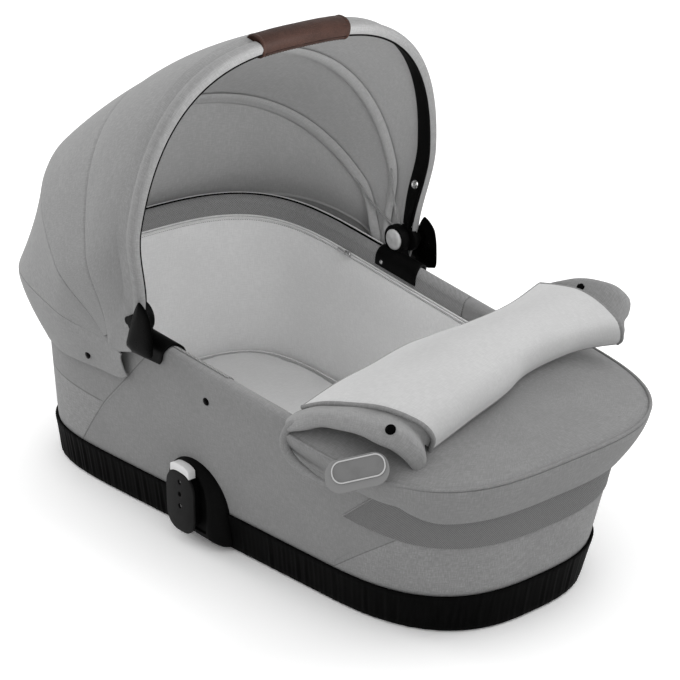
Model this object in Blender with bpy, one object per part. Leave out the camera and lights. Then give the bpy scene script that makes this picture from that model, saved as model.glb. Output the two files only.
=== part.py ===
"""Carrycot with a folding hood, an apron with a folded wind flap and pushchair adapters.

Metres, +Z up. +X points to the foot end, +Y to the left, and the origin is the middle of
the flat underside. "left" pieces lie at +Y and "right" pieces at -Y.
"""

import math

import bmesh
import bpy
import numpy as np
from mathutils import Vector

# Clearances and fabric walls shared by many pieces
SEAT_GAP = 0.0003
SEWN_GAP = 0.0014
CUT_OVERRUN = 0.002
CLOTH_WALL = 0.003
RING_STEPS = 48

# Plan outline of the tub at the rim and at the base: half width at mid length, how the half
# width narrows per metre towards the foot, the length of each end, where each rounded end
# begins, and how square each end is
RIM_HALF_WIDTH = 0.2200
RIM_NARROWING_SHARE = 0.2050
RIM_FOOT_LENGTH = 0.4264
RIM_HEAD_LENGTH = 0.4253
RIM_FOOT_BEND = 0.2100
RIM_HEAD_BEND = 0.1797
RIM_SQUARENESS_SHARES = (3.72, 3.05)
BASE_HALF_WIDTH = 0.1893
BASE_NARROWING_SHARE = 0.4080
BASE_FOOT_LENGTH = 0.4022
BASE_HEAD_LENGTH = 0.4150
BASE_FOOT_BEND = 0.2030
BASE_HEAD_BEND = 0.1755
BASE_SQUARENESS_SHARES = (2.76, 3.51)
RIM_HEIGHT = 0.2636
RIM_FALL_SHARE = 0.0819

# Base tray, its ribs and the gathered band round it
TRAY_FLOOR = 0.0050
TRAY_WALL = 0.0030
TRAY_HEIGHT = 0.0500
TRAY_INSET = 0.0038
TRAY_CORNER = 0.0080
TRAY_RIB_HEIGHT = 0.0060
TRAY_RIB_WIDTH = 0.0050
TRAY_RIB_PITCH = 0.1300
TRAY_RIB_REACH = 0.1350
BAND_LIFT = 0.0030
BAND_HEIGHT = 0.0564
BAND_WALL = 0.0022
BAND_FLARE = 0.0040
BAND_FOLD = 0.0012
BAND_FOLDS = 21
BAND_STEPS_PER_FOLD = 4

# Tub wall: outer shell rolled over the rim tube, facing, liner and its zip
SHELL_WALL = 0.0024
SHELL_FOOT = 0.0590
ROLL_RADIUS = 0.0100
ROLL_INNER_DROP = 0.0120
TUBE_RADIUS = 0.0060
FACING_DEPTH = 0.0160
FACING_WALL = 0.0020
LINER_WALL = 0.0022
LINER_FOOT = 0.0100
PIPING_RADIUS = 0.0018
HOOD_ZIP_RADIUS = 0.0014
VENT_START_SHARE = 0.30

# Mattress
MATTRESS_INSET = 0.0030
MATTRESS_LIFT = 0.0005
MATTRESS_HEIGHT = 0.0390
MATTRESS_CROWN = 0.0070
MATTRESS_BULGE = 0.0060

# Stays that hold the end walls up
STAY_RADIUS = 0.0035
STAY_SPREAD_SHARE = 0.30
STAY_TOP_DROP = 0.0300

# Hood pivot and hinge
PIVOT_X = -0.1030
PIVOT_Z = RIM_HEIGHT + 0.0299
SADDLE_REAR = -0.1250
SADDLE_FRONT = -0.0500
SADDLE_WALL = 0.0030
SADDLE_OUTER_DEPTH = 0.0260
SADDLE_INNER_DEPTH = 0.0200
BOSS_RADIUS = 0.0205
BOSS_INNER_FACE = RIM_HALF_WIDTH - 0.0075
BOSS_OUTER_FACE = RIM_HALF_WIDTH + 0.0065
BUTTON_RADIUS = 0.0150
BUTTON_PROUD = 0.0020
BUTTON_THICKNESS = 0.0050
BUTTON_GAP = 0.0005
BUTTON_POCKET = 0.0110
BUTTON_SPRING_RADIUS = 0.0080
SPRING_WIRE = 0.0006
SPRING_TURNS = 3
PIN_RADIUS = 0.0030
PIN_GAP = 0.0004
PIN_HEAD_RADIUS = 0.0055
HUB_RADIUS = 0.0150
HUB_THICKNESS = 0.0026
EYE_RADIUS = 0.0090
EYE_THICKNESS = 0.0034
COVER_X = -0.0820
COVER_WIDTH = 0.0560
COVER_HEIGHT = 0.0700
COVER_BOTTOM = 0.0420
COVER_SHARES = (
    (0.00, -0.80, 0.72), (0.06, -0.98, 0.92), (0.28, -0.86, 0.98), (0.57, -0.58, 0.92), (0.78, -0.33, 0.78),
    (0.92, -0.10, 0.46), (1.00, 0.08, 0.12),
)
COVER_THICKNESS = 0.0050
COVER_CLEARANCE = 0.0012

# Hood ribs: start and apex in side view from the rim's height, half width and width at the
# start from the rim's half width, and how far the rib bows forward between its ends
HOOD_HALF_WIDTH = RIM_HALF_WIDTH + 0.0400
HOOD_FOOT_HALF_WIDTH = RIM_HALF_WIDTH + 0.0210
FRONT_RIB = dict(
    start=(-0.0800, RIM_HEIGHT + 0.0484), apex=(-0.0300, RIM_HEIGHT + 0.3794),
    half=HOOD_HALF_WIDTH, foot=HOOD_FOOT_HALF_WIDTH, bow=0.0,
)
MID_RIB = dict(
    start=(-0.1500, RIM_HEIGHT - 0.0046), apex=(-0.2220, RIM_HEIGHT + 0.3099),
    half=HOOD_HALF_WIDTH + 0.0090, foot=HOOD_FOOT_HALF_WIDTH + 0.0020, bow=0.0180,
)
REAR_RIB = dict(
    start=(-0.1600, RIM_HEIGHT - 0.0096), apex=(-0.3840, RIM_HEIGHT + 0.2024),
    half=HOOD_HALF_WIDTH + 0.0070, foot=HOOD_FOOT_HALF_WIDTH + 0.0020, bow=0.0120,
)
HEM_RIB = dict(
    start=(-0.1370, RIM_HEIGHT - 0.0166), apex=(-0.4580, RIM_HEIGHT + 0.0224),
    half=HOOD_HALF_WIDTH - 0.0080, foot=HOOD_FOOT_HALF_WIDTH - 0.0080, bow=0.0,
)
RIB_SQUARENESS_SHARE = 2.95
HEM_SQUARENESS_SHARE = 2.9
RIB_TUCK_SHARE = 0.36
RIB_STEPS = 20
PANEL_CROWN = 0.0060
FOOT_SAG = 0.0180
FOOT_SAG_SHARES = (0.0, 0.0, 0.75, 1.0, 0.0)
REAR_PANEL_CROWN = 0.0260

# Front bow, grip and the two thin bows
BOW_WIDTH = 0.0260
BOW_THICKNESS = 0.0090
BOW_FRONT_GAP = 0.0035
BOW_FOOT_SHARE = 0.5
BOW_TAPER_SHARE = 0.2
ROLL_TURN_IN = 0.0060
GRIP_HALF_LENGTH = 0.0700
GRIP_WIDTH = 0.0335
GRIP_HEIGHT = 0.0290
GRIP_WALL_GAP = 0.0008
GRIP_STEPS = 8
GRIP_LOOP = 12
THIN_BOW_RADIUS = 0.0017
THIN_BOW_JOIN_SHARE = 0.34
STUD_RADIUS = 0.0060
STUD_HEIGHT = 0.0022
STUD_REACH = 0.0950

# Skirt of the hood below its hem seam
SKIRT_FRONT_DEPTH = 0.0460
SKIRT_HEAD_DEPTH = 0.0930
SKIRT_HEM_CLEARANCE = 0.0050

# Snap fasteners
SNAP_RADIUS = 0.0048
SNAP_HEIGHT = 0.0022
SIDE_SNAP_X = 0.0240
SIDE_SNAP_DROP = 0.0455
SKIRT_SNAP_BACK = 0.0370

# Apron over the foot end
APRON_START = 0.2110
APRON_OVERHANG = 0.0265
APRON_WALL = 0.0030
APRON_SKIRT = 0.0380
APRON_SIDE_SKIRT = 0.0470
APRON_SIDE_CLEARANCE = 0.0022
APRON_HEM_CLEARANCE = 0.0075
APRON_CREST_HEIGHT = 0.0460
APRON_FOOT_CROWN = 0.0170
APRON_SPINE_END = 0.3300
APRON_RISE_LENGTH = 0.0450
APRON_RISE_LIMIT = 0.0150
APRON_CORNER_DROP = 0.0040
APRON_FOLD_GAP = 0.0036
APRON_ROWS = 6
APRON_PIPING_RADIUS = 0.0024

# Wind flap folded back over the apron. Its four edges are tables of shares: across the flap's
# width from the crest, of its half length, and of its rise above the rim at the crest
FLAP_HALF_LENGTH = 0.2050
FLAP_WIDTH = 0.1530
FLAP_RISE = 0.0750
FLAP_CREST_X = 0.2130
FLAP_BULGE = 0.0090
FLAP_WALL = 0.0026
FLAP_HINGE_SHARES = (-0.03, 0.0, 0.78)
FLAP_OVERHANG = 0.0260
FLAP_STEPS = 17
FLAP_ROWS = 7
FLAP_RIGHT_SHARES = (
    (-0.03, -1.00, 0.32), (0.14, -0.97, 0.50), (0.44, -0.87, 0.58), (0.70, -0.80, 0.56),
    (0.88, -0.74, 0.43), (1.00, -0.69, 0.19),
)
FLAP_LEFT_SHARES = (
    (-0.12, 0.98, 0.99), (0.10, 0.98, 1.09), (0.37, 0.98, 1.15), (0.65, 0.99, 0.99),
    (0.78, 1.00, 0.80), (0.76, 1.04, 0.50), (0.67, 1.08, 0.33),
)
FLAP_HEAD_SHARES = (
    (-0.03, -1.00, 0.32), (-0.03, -0.73, 0.73), (-0.02, -0.24, 0.80), (-0.02, 0.24, 0.82),
    (-0.04, 0.68, 0.89), (-0.12, 0.98, 0.99),
)
FLAP_FREE_SHARES = (
    (1.00, -0.69, 0.19), (0.94, -0.37, 0.30), (0.80, 0.05, 0.39), (0.71, 0.20, 0.40),
    (0.61, 0.59, 0.40), (0.58, 0.80, 0.36), (0.61, 0.98, 0.33), (0.67, 1.08, 0.33),
)
TAG_LENGTH = 0.0600
TAG_WIDTH = 0.0250
TAG_THICKNESS = 0.0020
TAG_X = 0.3250
TAG_RISE = 0.0030
TAG_SQUARENESS_SHARE = 0.6

# Foot mesh window on the shell, below the apron
WINDOW_TOP_DROP = 0.0420
WINDOW_DEPTH = 0.0480
WINDOW_WALL = 0.0012
WINDOW_SPREAD_SHARE = 0.118

# Pushchair adapters on the sides of the base
ADAPTER_X = -0.0195
HOUSING_WIDTH = 0.1200
HOUSING_FOOT = 0.0060
HOUSING_TOP = 0.1180
HOUSING_BACK_FOOT = BASE_HALF_WIDTH + 0.0007
HOUSING_BACK_TOP = BASE_HALF_WIDTH + 0.0087
HOUSING_FACE = BASE_HALF_WIDTH + 0.0262
HOUSING_FACE_WIDTH = 0.0870
HOUSING_FACE_FOOT = 0.0200
HOUSING_FACE_TOP = 0.1120
PLATE_WIDTH = 0.0590
PLATE_FOOT = 0.0190
PLATE_TOP = 0.1045
PLATE_THICKNESS = 0.0040
PLATE_FACE = HOUSING_FACE + 0.0130
NECK_WIDTH = 0.0400
NECK_INSET = 0.0045
PLATE_HOLE_RADIUS = 0.0036
PLATE_HOLE_PITCH = 0.0172
PLATE_HOLE_TOP = 0.0140
PLATE_SQUARENESS_SHARE = 2.6
TAB_WIDTH = 0.0400
TAB_HEIGHT = 0.0110
TAB_CLEARANCE = 0.0006
STEM_WIDTH = 0.0100
STEM_THICKNESS = 0.0030
STEM_LENGTH = 0.0160
STEM_POCKET = 0.0270
TAB_SPRING_RADIUS = 0.0016
SCREW_RADIUS = 0.0030
SCREW_HEIGHT = 0.0015

SIDES = {"left": 1.0, "right": -1.0}

FINISHES = {
    "canopy_cloth": ((0.30, 0.30, 0.30), 0.85, 0.0),
    "tub_cloth": ((0.24, 0.24, 0.24), 0.85, 0.0),
    "liner_cloth": ((0.52, 0.52, 0.52), 0.9, 0.0),
    "flap_lining": ((0.68, 0.68, 0.68), 0.9, 0.0),
    "mesh_cloth": ((0.20, 0.20, 0.20), 0.9, 0.0),
    "band_cloth": ((0.01, 0.01, 0.01), 0.6, 0.0),
    "black_plastic": ((0.012, 0.012, 0.012), 0.45, 0.0),
    "gloss_black": ((0.006, 0.006, 0.006), 0.15, 0.0),
    "grey_plastic": ((0.40, 0.40, 0.40), 0.4, 0.0),
    "pale_plastic": ((0.72, 0.72, 0.72), 0.35, 0.0),
    "leather": ((0.055, 0.028, 0.020), 0.5, 0.0),
    "steel": ((0.60, 0.60, 0.60), 0.3, 1.0),
    "mattress_cloth": ((0.60, 0.60, 0.60), 0.9, 0.0),
}


def clear_scene():
    """Remove whatever the file holds."""
    for item in list(bpy.data.objects):
        bpy.data.objects.remove(item, do_unlink=True)


def dress(item, finish):
    """Give an object its own Principled material."""
    colour, roughness, metallic = FINISHES[finish]
    material = bpy.data.materials.new(item.name)
    material.use_nodes = True
    shader = material.node_tree.nodes["Principled BSDF"]
    shader.inputs["Base Color"].default_value = (*colour, 1.0)
    shader.inputs["Roughness"].default_value = roughness
    shader.inputs["Metallic"].default_value = metallic
    item.data.materials.append(material)


def mesh_object(name, points, faces, finish, origin=(0, 0, 0), sharp=40.0, weld=0.0):
    """Make a mesh object whose origin is at a chosen point."""
    mesh = bpy.data.meshes.new(name)
    mesh.from_pydata([tuple(np.asarray(p) - np.asarray(origin)) for p in points], [], faces)
    form = bmesh.new()
    form.from_mesh(mesh)
    if weld:
        bmesh.ops.remove_doubles(form, verts=form.verts, dist=weld)
    bmesh.ops.recalc_face_normals(form, faces=form.faces)
    form.to_mesh(mesh)
    form.free()
    mesh.shade_smooth()
    mesh.set_sharp_from_angle(angle=math.radians(sharp))
    item = bpy.data.objects.new(name, mesh)
    item.location = origin
    bpy.context.collection.objects.link(item)
    dress(item, finish)
    return item


def loft(name, rings, finish, capped=True, origin=(0, 0, 0), sharp=40.0):
    """Join closed loops of points, in order, into one solid: capped, or joined end to end."""
    rings = np.asarray(rings, float)
    count, size = rings.shape[:2]
    faces = []
    for i in range(count - 1 if capped else count):
        for j in range(size):
            a, b = i * size, (i + 1) % count * size
            faces.append((a + j, a + (j + 1) % size, b + (j + 1) % size, b + j))
    if capped:
        faces.append(tuple(range(size))[::-1])
        faces.append(tuple((count - 1) * size + j for j in range(size)))
    return mesh_object(name, rings.reshape(-1, 3), faces, finish, origin, sharp)


def sheet(name, grid, wall, finish, skip=None, weld=0.0, origin=(0, 0, 0)):
    """Make a grid of points into a sheet with a wall of even thickness about it."""
    grid = np.asarray(grid, float)
    rows, columns = grid.shape[:2]
    faces = [
        (i * columns + j, i * columns + j + 1, (i + 1) * columns + j + 1, (i + 1) * columns + j)
        for i in range(rows - 1)
        for j in range(columns - 1)
        if not (skip and skip(i, j))
    ]
    used = sorted({corner for face in faces for corner in face})
    place = {old: new for new, old in enumerate(used)}
    points = grid.reshape(-1, 3)[used]
    faces = [tuple(place[corner] for corner in face) for face in faces]
    item = mesh_object(name, points, faces, finish, origin, weld=weld)
    solid = item.modifiers.new("wall", "SOLIDIFY")
    solid.thickness = wall
    solid.offset = 0.0
    solid.use_even_offset = True
    return item


def rod(name, points, radius, finish, closed=False, detail=1, origin=(0, 0, 0)):
    """Make a round rod, wire or cord along a list of points."""
    curve = bpy.data.curves.new(name, "CURVE")
    curve.dimensions = "3D"
    curve.bevel_depth = radius
    curve.bevel_resolution = detail
    curve.use_fill_caps = not closed
    spline = curve.splines.new("POLY")
    spline.points.add(len(points) - 1)
    for knot, point in zip(spline.points, points):
        knot.co = (*(np.asarray(point) - np.asarray(origin)), 1.0)
    spline.use_cyclic_u = closed
    item = bpy.data.objects.new(name, curve)
    item.location = origin
    bpy.context.collection.objects.link(item)
    dress(item, finish)
    return item


def cut(item, cutter, operation="DIFFERENCE"):
    """Cut a solid with another, which is then only a guide."""
    cutter.hide_render = True
    cutter.display_type = "WIRE"
    step = item.modifiers.new("cut", "BOOLEAN")
    step.solver = "EXACT"
    step.operation = operation
    step.object = cutter
    return item


def circle(count, radius, start=0.0):
    """Points of a circle about the origin, as pairs."""
    turn = start + np.arange(count) * 2 * math.pi / count
    return np.stack([radius * np.cos(turn), radius * np.sin(turn)], 1)


def disc(name, centre_x, centre_z, side, faces_y, radius, finish, count=20, origin=(0, 0, 0)):
    """A round solid on an axis along Y, between two distances from the middle."""
    loop = circle(count, radius)
    rings = [
        [(centre_x + x, side * y, centre_z + z) for x, z in loop]
        for y in faces_y
    ]
    return loft(name, rings, finish, origin=origin)


def smooth_step(value):
    """Ease from 0 to 1."""
    value = np.clip(value, 0.0, 1.0)
    return value * value * (3 - 2 * value)


# Tub outline


def rim_height(x):
    """Height of the rim above the floor at a place along the tub."""
    return RIM_HEIGHT - RIM_FALL_SHARE * x


def outline(half, narrowing, lengths, bends, squareness, count):
    """Evenly spaced plan points of a tub outline, from the foot's middle round by the left."""
    fine = 900
    turn = np.linspace(0, math.pi / 2, fine)
    ends = []
    for length, bend, power in zip(lengths, bends, squareness):
        x = bend + (length - bend) * np.cos(turn) ** (2 / power)
        y = np.sin(turn) ** (2 / power)
        ends.append((x, y))
    foot_x, foot_y = ends[0]
    head_x, head_y = ends[1]
    x = np.concatenate([foot_x, -head_x[::-1]])
    y = np.concatenate([foot_y, head_y[::-1]]) * half * (1 - narrowing * x)
    x = np.concatenate([x, x[-2:0:-1]])
    y = np.concatenate([y, -y[-2:0:-1]])
    step = np.hypot(np.diff(np.append(x, x[0])), np.diff(np.append(y, y[0])))
    along = np.concatenate([[0.0], np.cumsum(step)])
    want = np.arange(count) / count * along[-1]
    return np.stack(
        [np.interp(want, along, np.append(x, x[0])), np.interp(want, along, np.append(y, y[0]))], 1
    )


def rim_outline(count):
    """Plan points of the rim."""
    return outline(
        RIM_HALF_WIDTH, RIM_NARROWING_SHARE, (RIM_FOOT_LENGTH, RIM_HEAD_LENGTH),
        (RIM_FOOT_BEND, RIM_HEAD_BEND), RIM_SQUARENESS_SHARES, count,
    )


def base_outline(count):
    """Plan points of the base."""
    return outline(
        BASE_HALF_WIDTH, BASE_NARROWING_SHARE, (BASE_FOOT_LENGTH, BASE_HEAD_LENGTH),
        (BASE_FOOT_BEND, BASE_HEAD_BEND), BASE_SQUARENESS_SHARES, count,
    )


def pushed_in(ring, inset):
    """Move each point of a closed loop inwards, square to the loop in plan."""
    along = np.roll(ring, -1, axis=0) - np.roll(ring, 1, axis=0)
    inward = np.stack([-along[:, 1], along[:, 0]], 1)
    inward /= np.linalg.norm(inward, axis=1)[:, None]
    moved = ring.copy()
    moved[:, :2] += inward * np.reshape(inset, (-1, 1))
    return moved


def wall_ring(inset, height=None, drop=None, count=RING_STEPS):
    """A loop round the tub wall at a height, or at a drop below the rim, pushed inwards."""
    rim, base = rim_outline(count), base_outline(count)
    top = rim_height(rim[:, 0])
    rise = height / top if drop is None else 1 - np.asarray(drop) / top
    rise = np.broadcast_to(rise, (count,))[:, None]
    plan = base + (rim - base) * rise
    level = top * rise[:, 0]
    return pushed_in(np.column_stack([plan, level]), inset)


def part_of(ring, centre_share, spread_share):
    """The points of a closed loop within a share of its length on each side of a place."""
    count = len(ring)
    middle = round(centre_share * count)
    reach = round(spread_share * count)
    return ring[[k % count for k in range(middle - reach, middle + reach + 1)]]


def place_on_wall(x, side, drop, outside=0.0):
    """A point on the tub wall's side and the outward direction there."""
    ring = wall_ring(0.0, drop=drop, count=RING_STEPS * 4)
    half = ring[ring[:, 1] * side > 0]
    order = half[np.argsort(half[:, 0])]
    y = np.interp(x, order[:, 0], order[:, 1])
    return Vector((x, y + side * outside, rim_height(x) - drop))


# Base


def make_tray():
    """Moulded tray: flat underside, low wall and a grid of floor ribs."""
    insets = (TRAY_INSET + TRAY_CORNER, TRAY_INSET + TRAY_CORNER / 4, TRAY_INSET, TRAY_INSET,
              TRAY_INSET + TRAY_WALL, TRAY_INSET + TRAY_WALL, TRAY_INSET + TRAY_WALL + TRAY_CORNER / 2)
    heights = (0.0, TRAY_CORNER / 4, TRAY_CORNER, TRAY_HEIGHT,
               TRAY_HEIGHT, TRAY_FLOOR + TRAY_CORNER, TRAY_FLOOR)
    rings = [wall_ring(i, height=h) for i, h in zip(insets, heights)]
    tray = loft("base_tray", rings, "black_plastic")
    ribs = []
    reach_x = BASE_FOOT_LENGTH - TRAY_RIB_PITCH / 2
    for y in (-TRAY_RIB_REACH / 2, TRAY_RIB_REACH / 2):
        ribs.append(box_guide("rib_long", (0, y), (2 * reach_x, TRAY_RIB_WIDTH)))
    count = int(reach_x // TRAY_RIB_PITCH)
    for k in range(-count, count + 1):
        ribs.append(box_guide("rib_cross", (k * TRAY_RIB_PITCH, 0), (TRAY_RIB_WIDTH, 2 * TRAY_RIB_REACH)))
    for rib in ribs:
        cut(tray, rib, "UNION")


def box_guide(name, middle, size):
    """A rib from inside the tray's floor up to the rib height."""
    (x, y), (length, width) = middle, size
    corners = [(-1, -1), (1, -1), (1, 1), (-1, 1)]
    rings = [
        [(x + a * length / 2, y + b * width / 2, z) for a, b in corners]
        for z in (TRAY_FLOOR / 2, TRAY_FLOOR + TRAY_RIB_HEIGHT)
    ]
    return loft(name, rings, "black_plastic")


def make_band():
    """Gathered cloth band round the tray, with its upright folds."""
    count = BAND_FOLDS * BAND_STEPS_PER_FOLD
    fold = BAND_FOLD * np.cos(np.arange(count) * 2 * math.pi / BAND_STEPS_PER_FOLD)
    levels = (
        (BAND_LIFT, 0.0, 0.4), ((BAND_LIFT + BAND_HEIGHT) / 2, BAND_FLARE / 3, 1.0),
        (BAND_HEIGHT, BAND_FLARE, 0.5),
    )
    rings = [wall_ring(-out + fold * share, height=z, count=count) for z, out, share in levels]
    inner = (
        (BAND_HEIGHT, SEAT_GAP * 2), (TRAY_HEIGHT, SEAT_GAP), (TRAY_HEIGHT - TRAY_WALL, BAND_WALL),
        (BAND_LIFT, BAND_WALL),
    )
    rings += [wall_ring(inset, height=z, count=count) for z, inset in inner]
    loft("base_band", rings, "band_cloth", capped=False)


# Wall


def roll_section(radius, steps, first, last):
    """Inset and drop of points on a roll about the rim tube, from the outer side inwards."""
    turn = np.radians(np.linspace(first, last, steps))
    return [(ROLL_RADIUS + radius * math.cos(a), ROLL_RADIUS - radius * math.sin(a)) for a in turn]


def make_shell():
    """Outer shell: the side wall in cloth, rolled over the rim tube."""
    inner_radius = ROLL_RADIUS - SHELL_WALL
    middle = (SHELL_FOOT + RIM_HEIGHT) / 2
    rings = [wall_ring(0.0, height=SHELL_FOOT), wall_ring(0.0, height=middle)]
    rings += [wall_ring(i, drop=d) for i, d in roll_section(ROLL_RADIUS, 5, 180, 0)]
    rings.append(wall_ring(2 * ROLL_RADIUS, drop=ROLL_INNER_DROP))
    rings.append(wall_ring(2 * ROLL_RADIUS - SHELL_WALL, drop=ROLL_INNER_DROP))
    rings += [wall_ring(i, drop=d) for i, d in roll_section(inner_radius, 5, 0, 180)]
    rings += [wall_ring(SHELL_WALL, height=middle), wall_ring(SHELL_WALL, height=SHELL_FOOT)]
    loft("outer_shell", rings, "tub_cloth", capped=False)


def make_rim_tube():
    """Tube inside the rolled rim."""
    rod("rim_frame", wall_ring(ROLL_RADIUS, drop=ROLL_RADIUS), TUBE_RADIUS, "steel", closed=True)


FACING_INSET = 2 * ROLL_RADIUS - FACING_WALL / 2
FACING_TOP = ROLL_INNER_DROP + SEAT_GAP
LINER_TOP = FACING_TOP + FACING_DEPTH + SEAT_GAP
LINER_INSET = FACING_INSET - FACING_WALL / 2
PIPING_INSET = LINER_INSET + LINER_WALL + PIPING_RADIUS + SEAT_GAP


def make_facings():
    """Strip between the rolled rim and the liner: woven mesh round the head, cloth elsewhere."""
    for name, finish, centre, spread in (
        ("vent_mesh", "mesh_cloth", 0.5, VENT_START_SHARE - 1 / RING_STEPS),
        ("rim_facing", "tub_cloth", 0.0, 0.5 - VENT_START_SHARE),
    ):
        rows = [
            part_of(wall_ring(FACING_INSET, drop=drop), centre, spread)
            for drop in (FACING_TOP, FACING_TOP + FACING_DEPTH)
        ]
        if name == "vent_mesh":
            rows = [row[1:-1] for row in rows]
        sheet(name, rows, FACING_WALL, finish)


def make_liner():
    """Padded liner down to the tray floor, with the zip cord along its top edge."""
    drops = (LINER_TOP, 0.4 * RIM_HEIGHT)
    outer = [wall_ring(LINER_INSET, drop=d) for d in drops] + [wall_ring(LINER_INSET, height=LINER_FOOT)]
    inset = LINER_INSET + LINER_WALL
    inner = [wall_ring(inset, height=LINER_FOOT)] + [wall_ring(inset, drop=d) for d in drops[::-1]]
    loft("liner", outer + inner, "liner_cloth", capped=False)
    cord = wall_ring(PIPING_INSET, drop=LINER_TOP)
    rod("liner_zip", cord, PIPING_RADIUS, "liner_cloth", closed=True, detail=0)


def make_zip_slider():
    """Slider of the liner zip, with its pull hanging down."""
    half = ZIP_BODY[0] / 2
    place = place_on_wall(ZIP_X, 1.0, LINER_TOP)
    y = place.y - PIPING_INSET - PIPING_RADIUS - SEAT_GAP * 3
    rings = []
    for x, share in ((-half, 0.6), (0.0, 1.0), (half, 0.6)):
        tall, deep = ZIP_BODY[2] / 2 * share, ZIP_BODY[1]
        rings.append([
            (place.x + x, y, place.z - tall), (place.x + x, y, place.z + tall),
            (place.x + x, y - deep, place.z + tall), (place.x + x, y - deep, place.z - tall),
        ])
    slider = loft("zip_slider", rings, "steel", origin=tuple(place))
    pull_top = place.z - ZIP_BODY[2] / 4
    rings = []
    for z, width in ((pull_top, 0.6), (pull_top - ZIP_PULL, 1.0)):
        wide = ZIP_BODY[2] * width / 2
        front = y - ZIP_BODY[1] / 2
        rings.append([
            (place.x - wide, front, z), (place.x + wide, front, z),
            (place.x + wide, front - ZIP_BODY[1], z), (place.x - wide, front - ZIP_BODY[1], z),
        ])
    pull = loft("pull_guide", rings, "steel")
    cut(slider, pull, "UNION")


ZIP_X = -0.1870
ZIP_BODY = (0.0110, 0.0028, 0.0070)
ZIP_PULL = 0.0180


def make_hood_zip():
    """Black zip that closes the hood's rear edge onto the inside of the rim."""
    inset = 2 * ROLL_RADIUS + HOOD_ZIP_RADIUS + SEAT_GAP
    ring = wall_ring(inset, drop=ROLL_INNER_DROP, count=RING_STEPS)
    path = part_of(ring, 0.5, VENT_START_SHARE - 2 / RING_STEPS)
    path = path[path[:, 0] < SADDLE_REAR - CUT_OVERRUN]
    rod("hood_zip", path, HOOD_ZIP_RADIUS, "black_plastic")


def make_stays():
    """Bent stays between shell and liner that hold the two end walls up."""
    inset = TRAY_INSET + TRAY_WALL + STAY_RADIUS + SEAT_GAP * 2
    for name, centre in (("head_stay", 0.5), ("foot_stay", 0.0)):
        low = part_of(wall_ring(inset, height=TRAY_FLOOR + TRAY_CORNER + STAY_RADIUS), centre, STAY_SPREAD_SHARE / 2)
        high = part_of(wall_ring(inset, drop=STAY_TOP_DROP), centre, STAY_SPREAD_SHARE / 2)
        along = np.linspace(-1, 1, len(low))
        rise = (1 - np.abs(along) ** 1.6)[:, None]
        rod(name, low + (high - low) * rise, STAY_RADIUS, "steel")


def make_mattress():
    """Mattress with drawn-in sides and a crowned top."""
    foot = TRAY_FLOOR + TRAY_RIB_HEIGHT + MATTRESS_LIFT
    inset = LINER_INSET + LINER_WALL + MATTRESS_INSET
    top = foot + MATTRESS_HEIGHT
    plan = (
        (foot, inset + MATTRESS_BULGE), (foot + MATTRESS_HEIGHT / 4, inset), (foot + MATTRESS_HEIGHT / 2, inset),
        (top - MATTRESS_HEIGHT / 6, inset + MATTRESS_BULGE / 4), (top, inset + MATTRESS_BULGE),
    )
    rings = [wall_ring(i, height=z, count=48) for z, i in plan]
    edge = rings[-1]
    middle = np.array([0.0, 0.0, top + MATTRESS_CROWN])
    spine = middle + (edge - middle) * np.array([0.62, 0.02, 0.0])
    for share in (0.25, 0.55, 0.85, 0.999):
        ring = edge + (spine - edge) * share
        ring[:, 2] = top + MATTRESS_CROWN * math.sin(share * math.pi / 2)
        rings.append(ring)
    loft("mattress", rings, "mattress_cloth", sharp=60.0)


# Hood


def rib_curve(rib, squareness=RIB_SQUARENESS_SHARE, inset=0.0, back=0.0, steps=RIB_STEPS, shares=None):
    """Points of a hood rib from the right foot over the apex to the left foot.

    inset moves the rib towards the inside of the hood, and back moves it off its plane
    towards the head.
    """
    start, apex = Vector(rib["start"]), Vector(rib["apex"])
    run = apex - start
    reach = run.length
    ahead = Vector((run.y, -run.x)) / reach
    turn = np.linspace(-math.pi / 2, math.pi / 2, 2 * steps + 1) if shares is None else shares
    side = np.sign(turn)
    rise = np.cos(turn) ** (2 / squareness)
    half = np.abs(np.sin(turn)) ** (2 / squareness)
    tuck = (rib["half"] - rib["foot"]) * (1 - smooth_step(rise / RIB_TUCK_SHARE))
    y = side * (half * (rib["half"] - inset) - tuck)
    length = rise * (reach - inset)
    bow = rib["bow"] * 4 * rise * (1 - rise) - back
    x = start.x + run.x / reach * length + ahead.x * bow
    z = start.y + run.y / reach * length + ahead.y * bow
    return np.stack([x, y, z], 1)


def even_turns(rib, squareness, steps):
    """Turn values that space a rib's points evenly, with a point at each end of the grip."""
    fine = np.linspace(-math.pi / 2, math.pi / 2, 1200)
    curve = rib_curve(rib, squareness, shares=fine)
    along = np.concatenate([[0.0], np.cumsum(np.linalg.norm(np.diff(curve, axis=0), axis=1))])
    turns = np.interp(np.linspace(0, along[-1], 2 * steps + 1), along, fine)
    stop = np.interp(GRIP_HALF_LENGTH + CLOTH_WALL, curve[:, 1], fine)
    for side in SIDES.values():
        turns[np.argmin(np.abs(turns - side * stop))] = side * stop
    return turns


def rib_points(rib, squareness=RIB_SQUARENESS_SHARE, steps=RIB_STEPS, inset=0.0, back=0.0):
    """Evenly spaced points of a rib."""
    return rib_curve(rib, squareness, inset, back, shares=even_turns(rib, squareness, steps))


def outward(curve_a, curve_b):
    """Unit directions out of the hood, between two neighbouring ribs."""
    across = curve_b - curve_a
    along = np.gradient((curve_a + curve_b) / 2, axis=0)
    normal = np.cross(along, across)
    normal /= np.linalg.norm(normal, axis=1)[:, None] + 1e-12
    middle = (curve_a + curve_b) / 2
    centre = np.array([PIVOT_X, 0.0, PIVOT_Z])
    flip = np.sign(np.sum(normal * (middle - centre), axis=1))
    return normal * flip[:, None]


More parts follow.
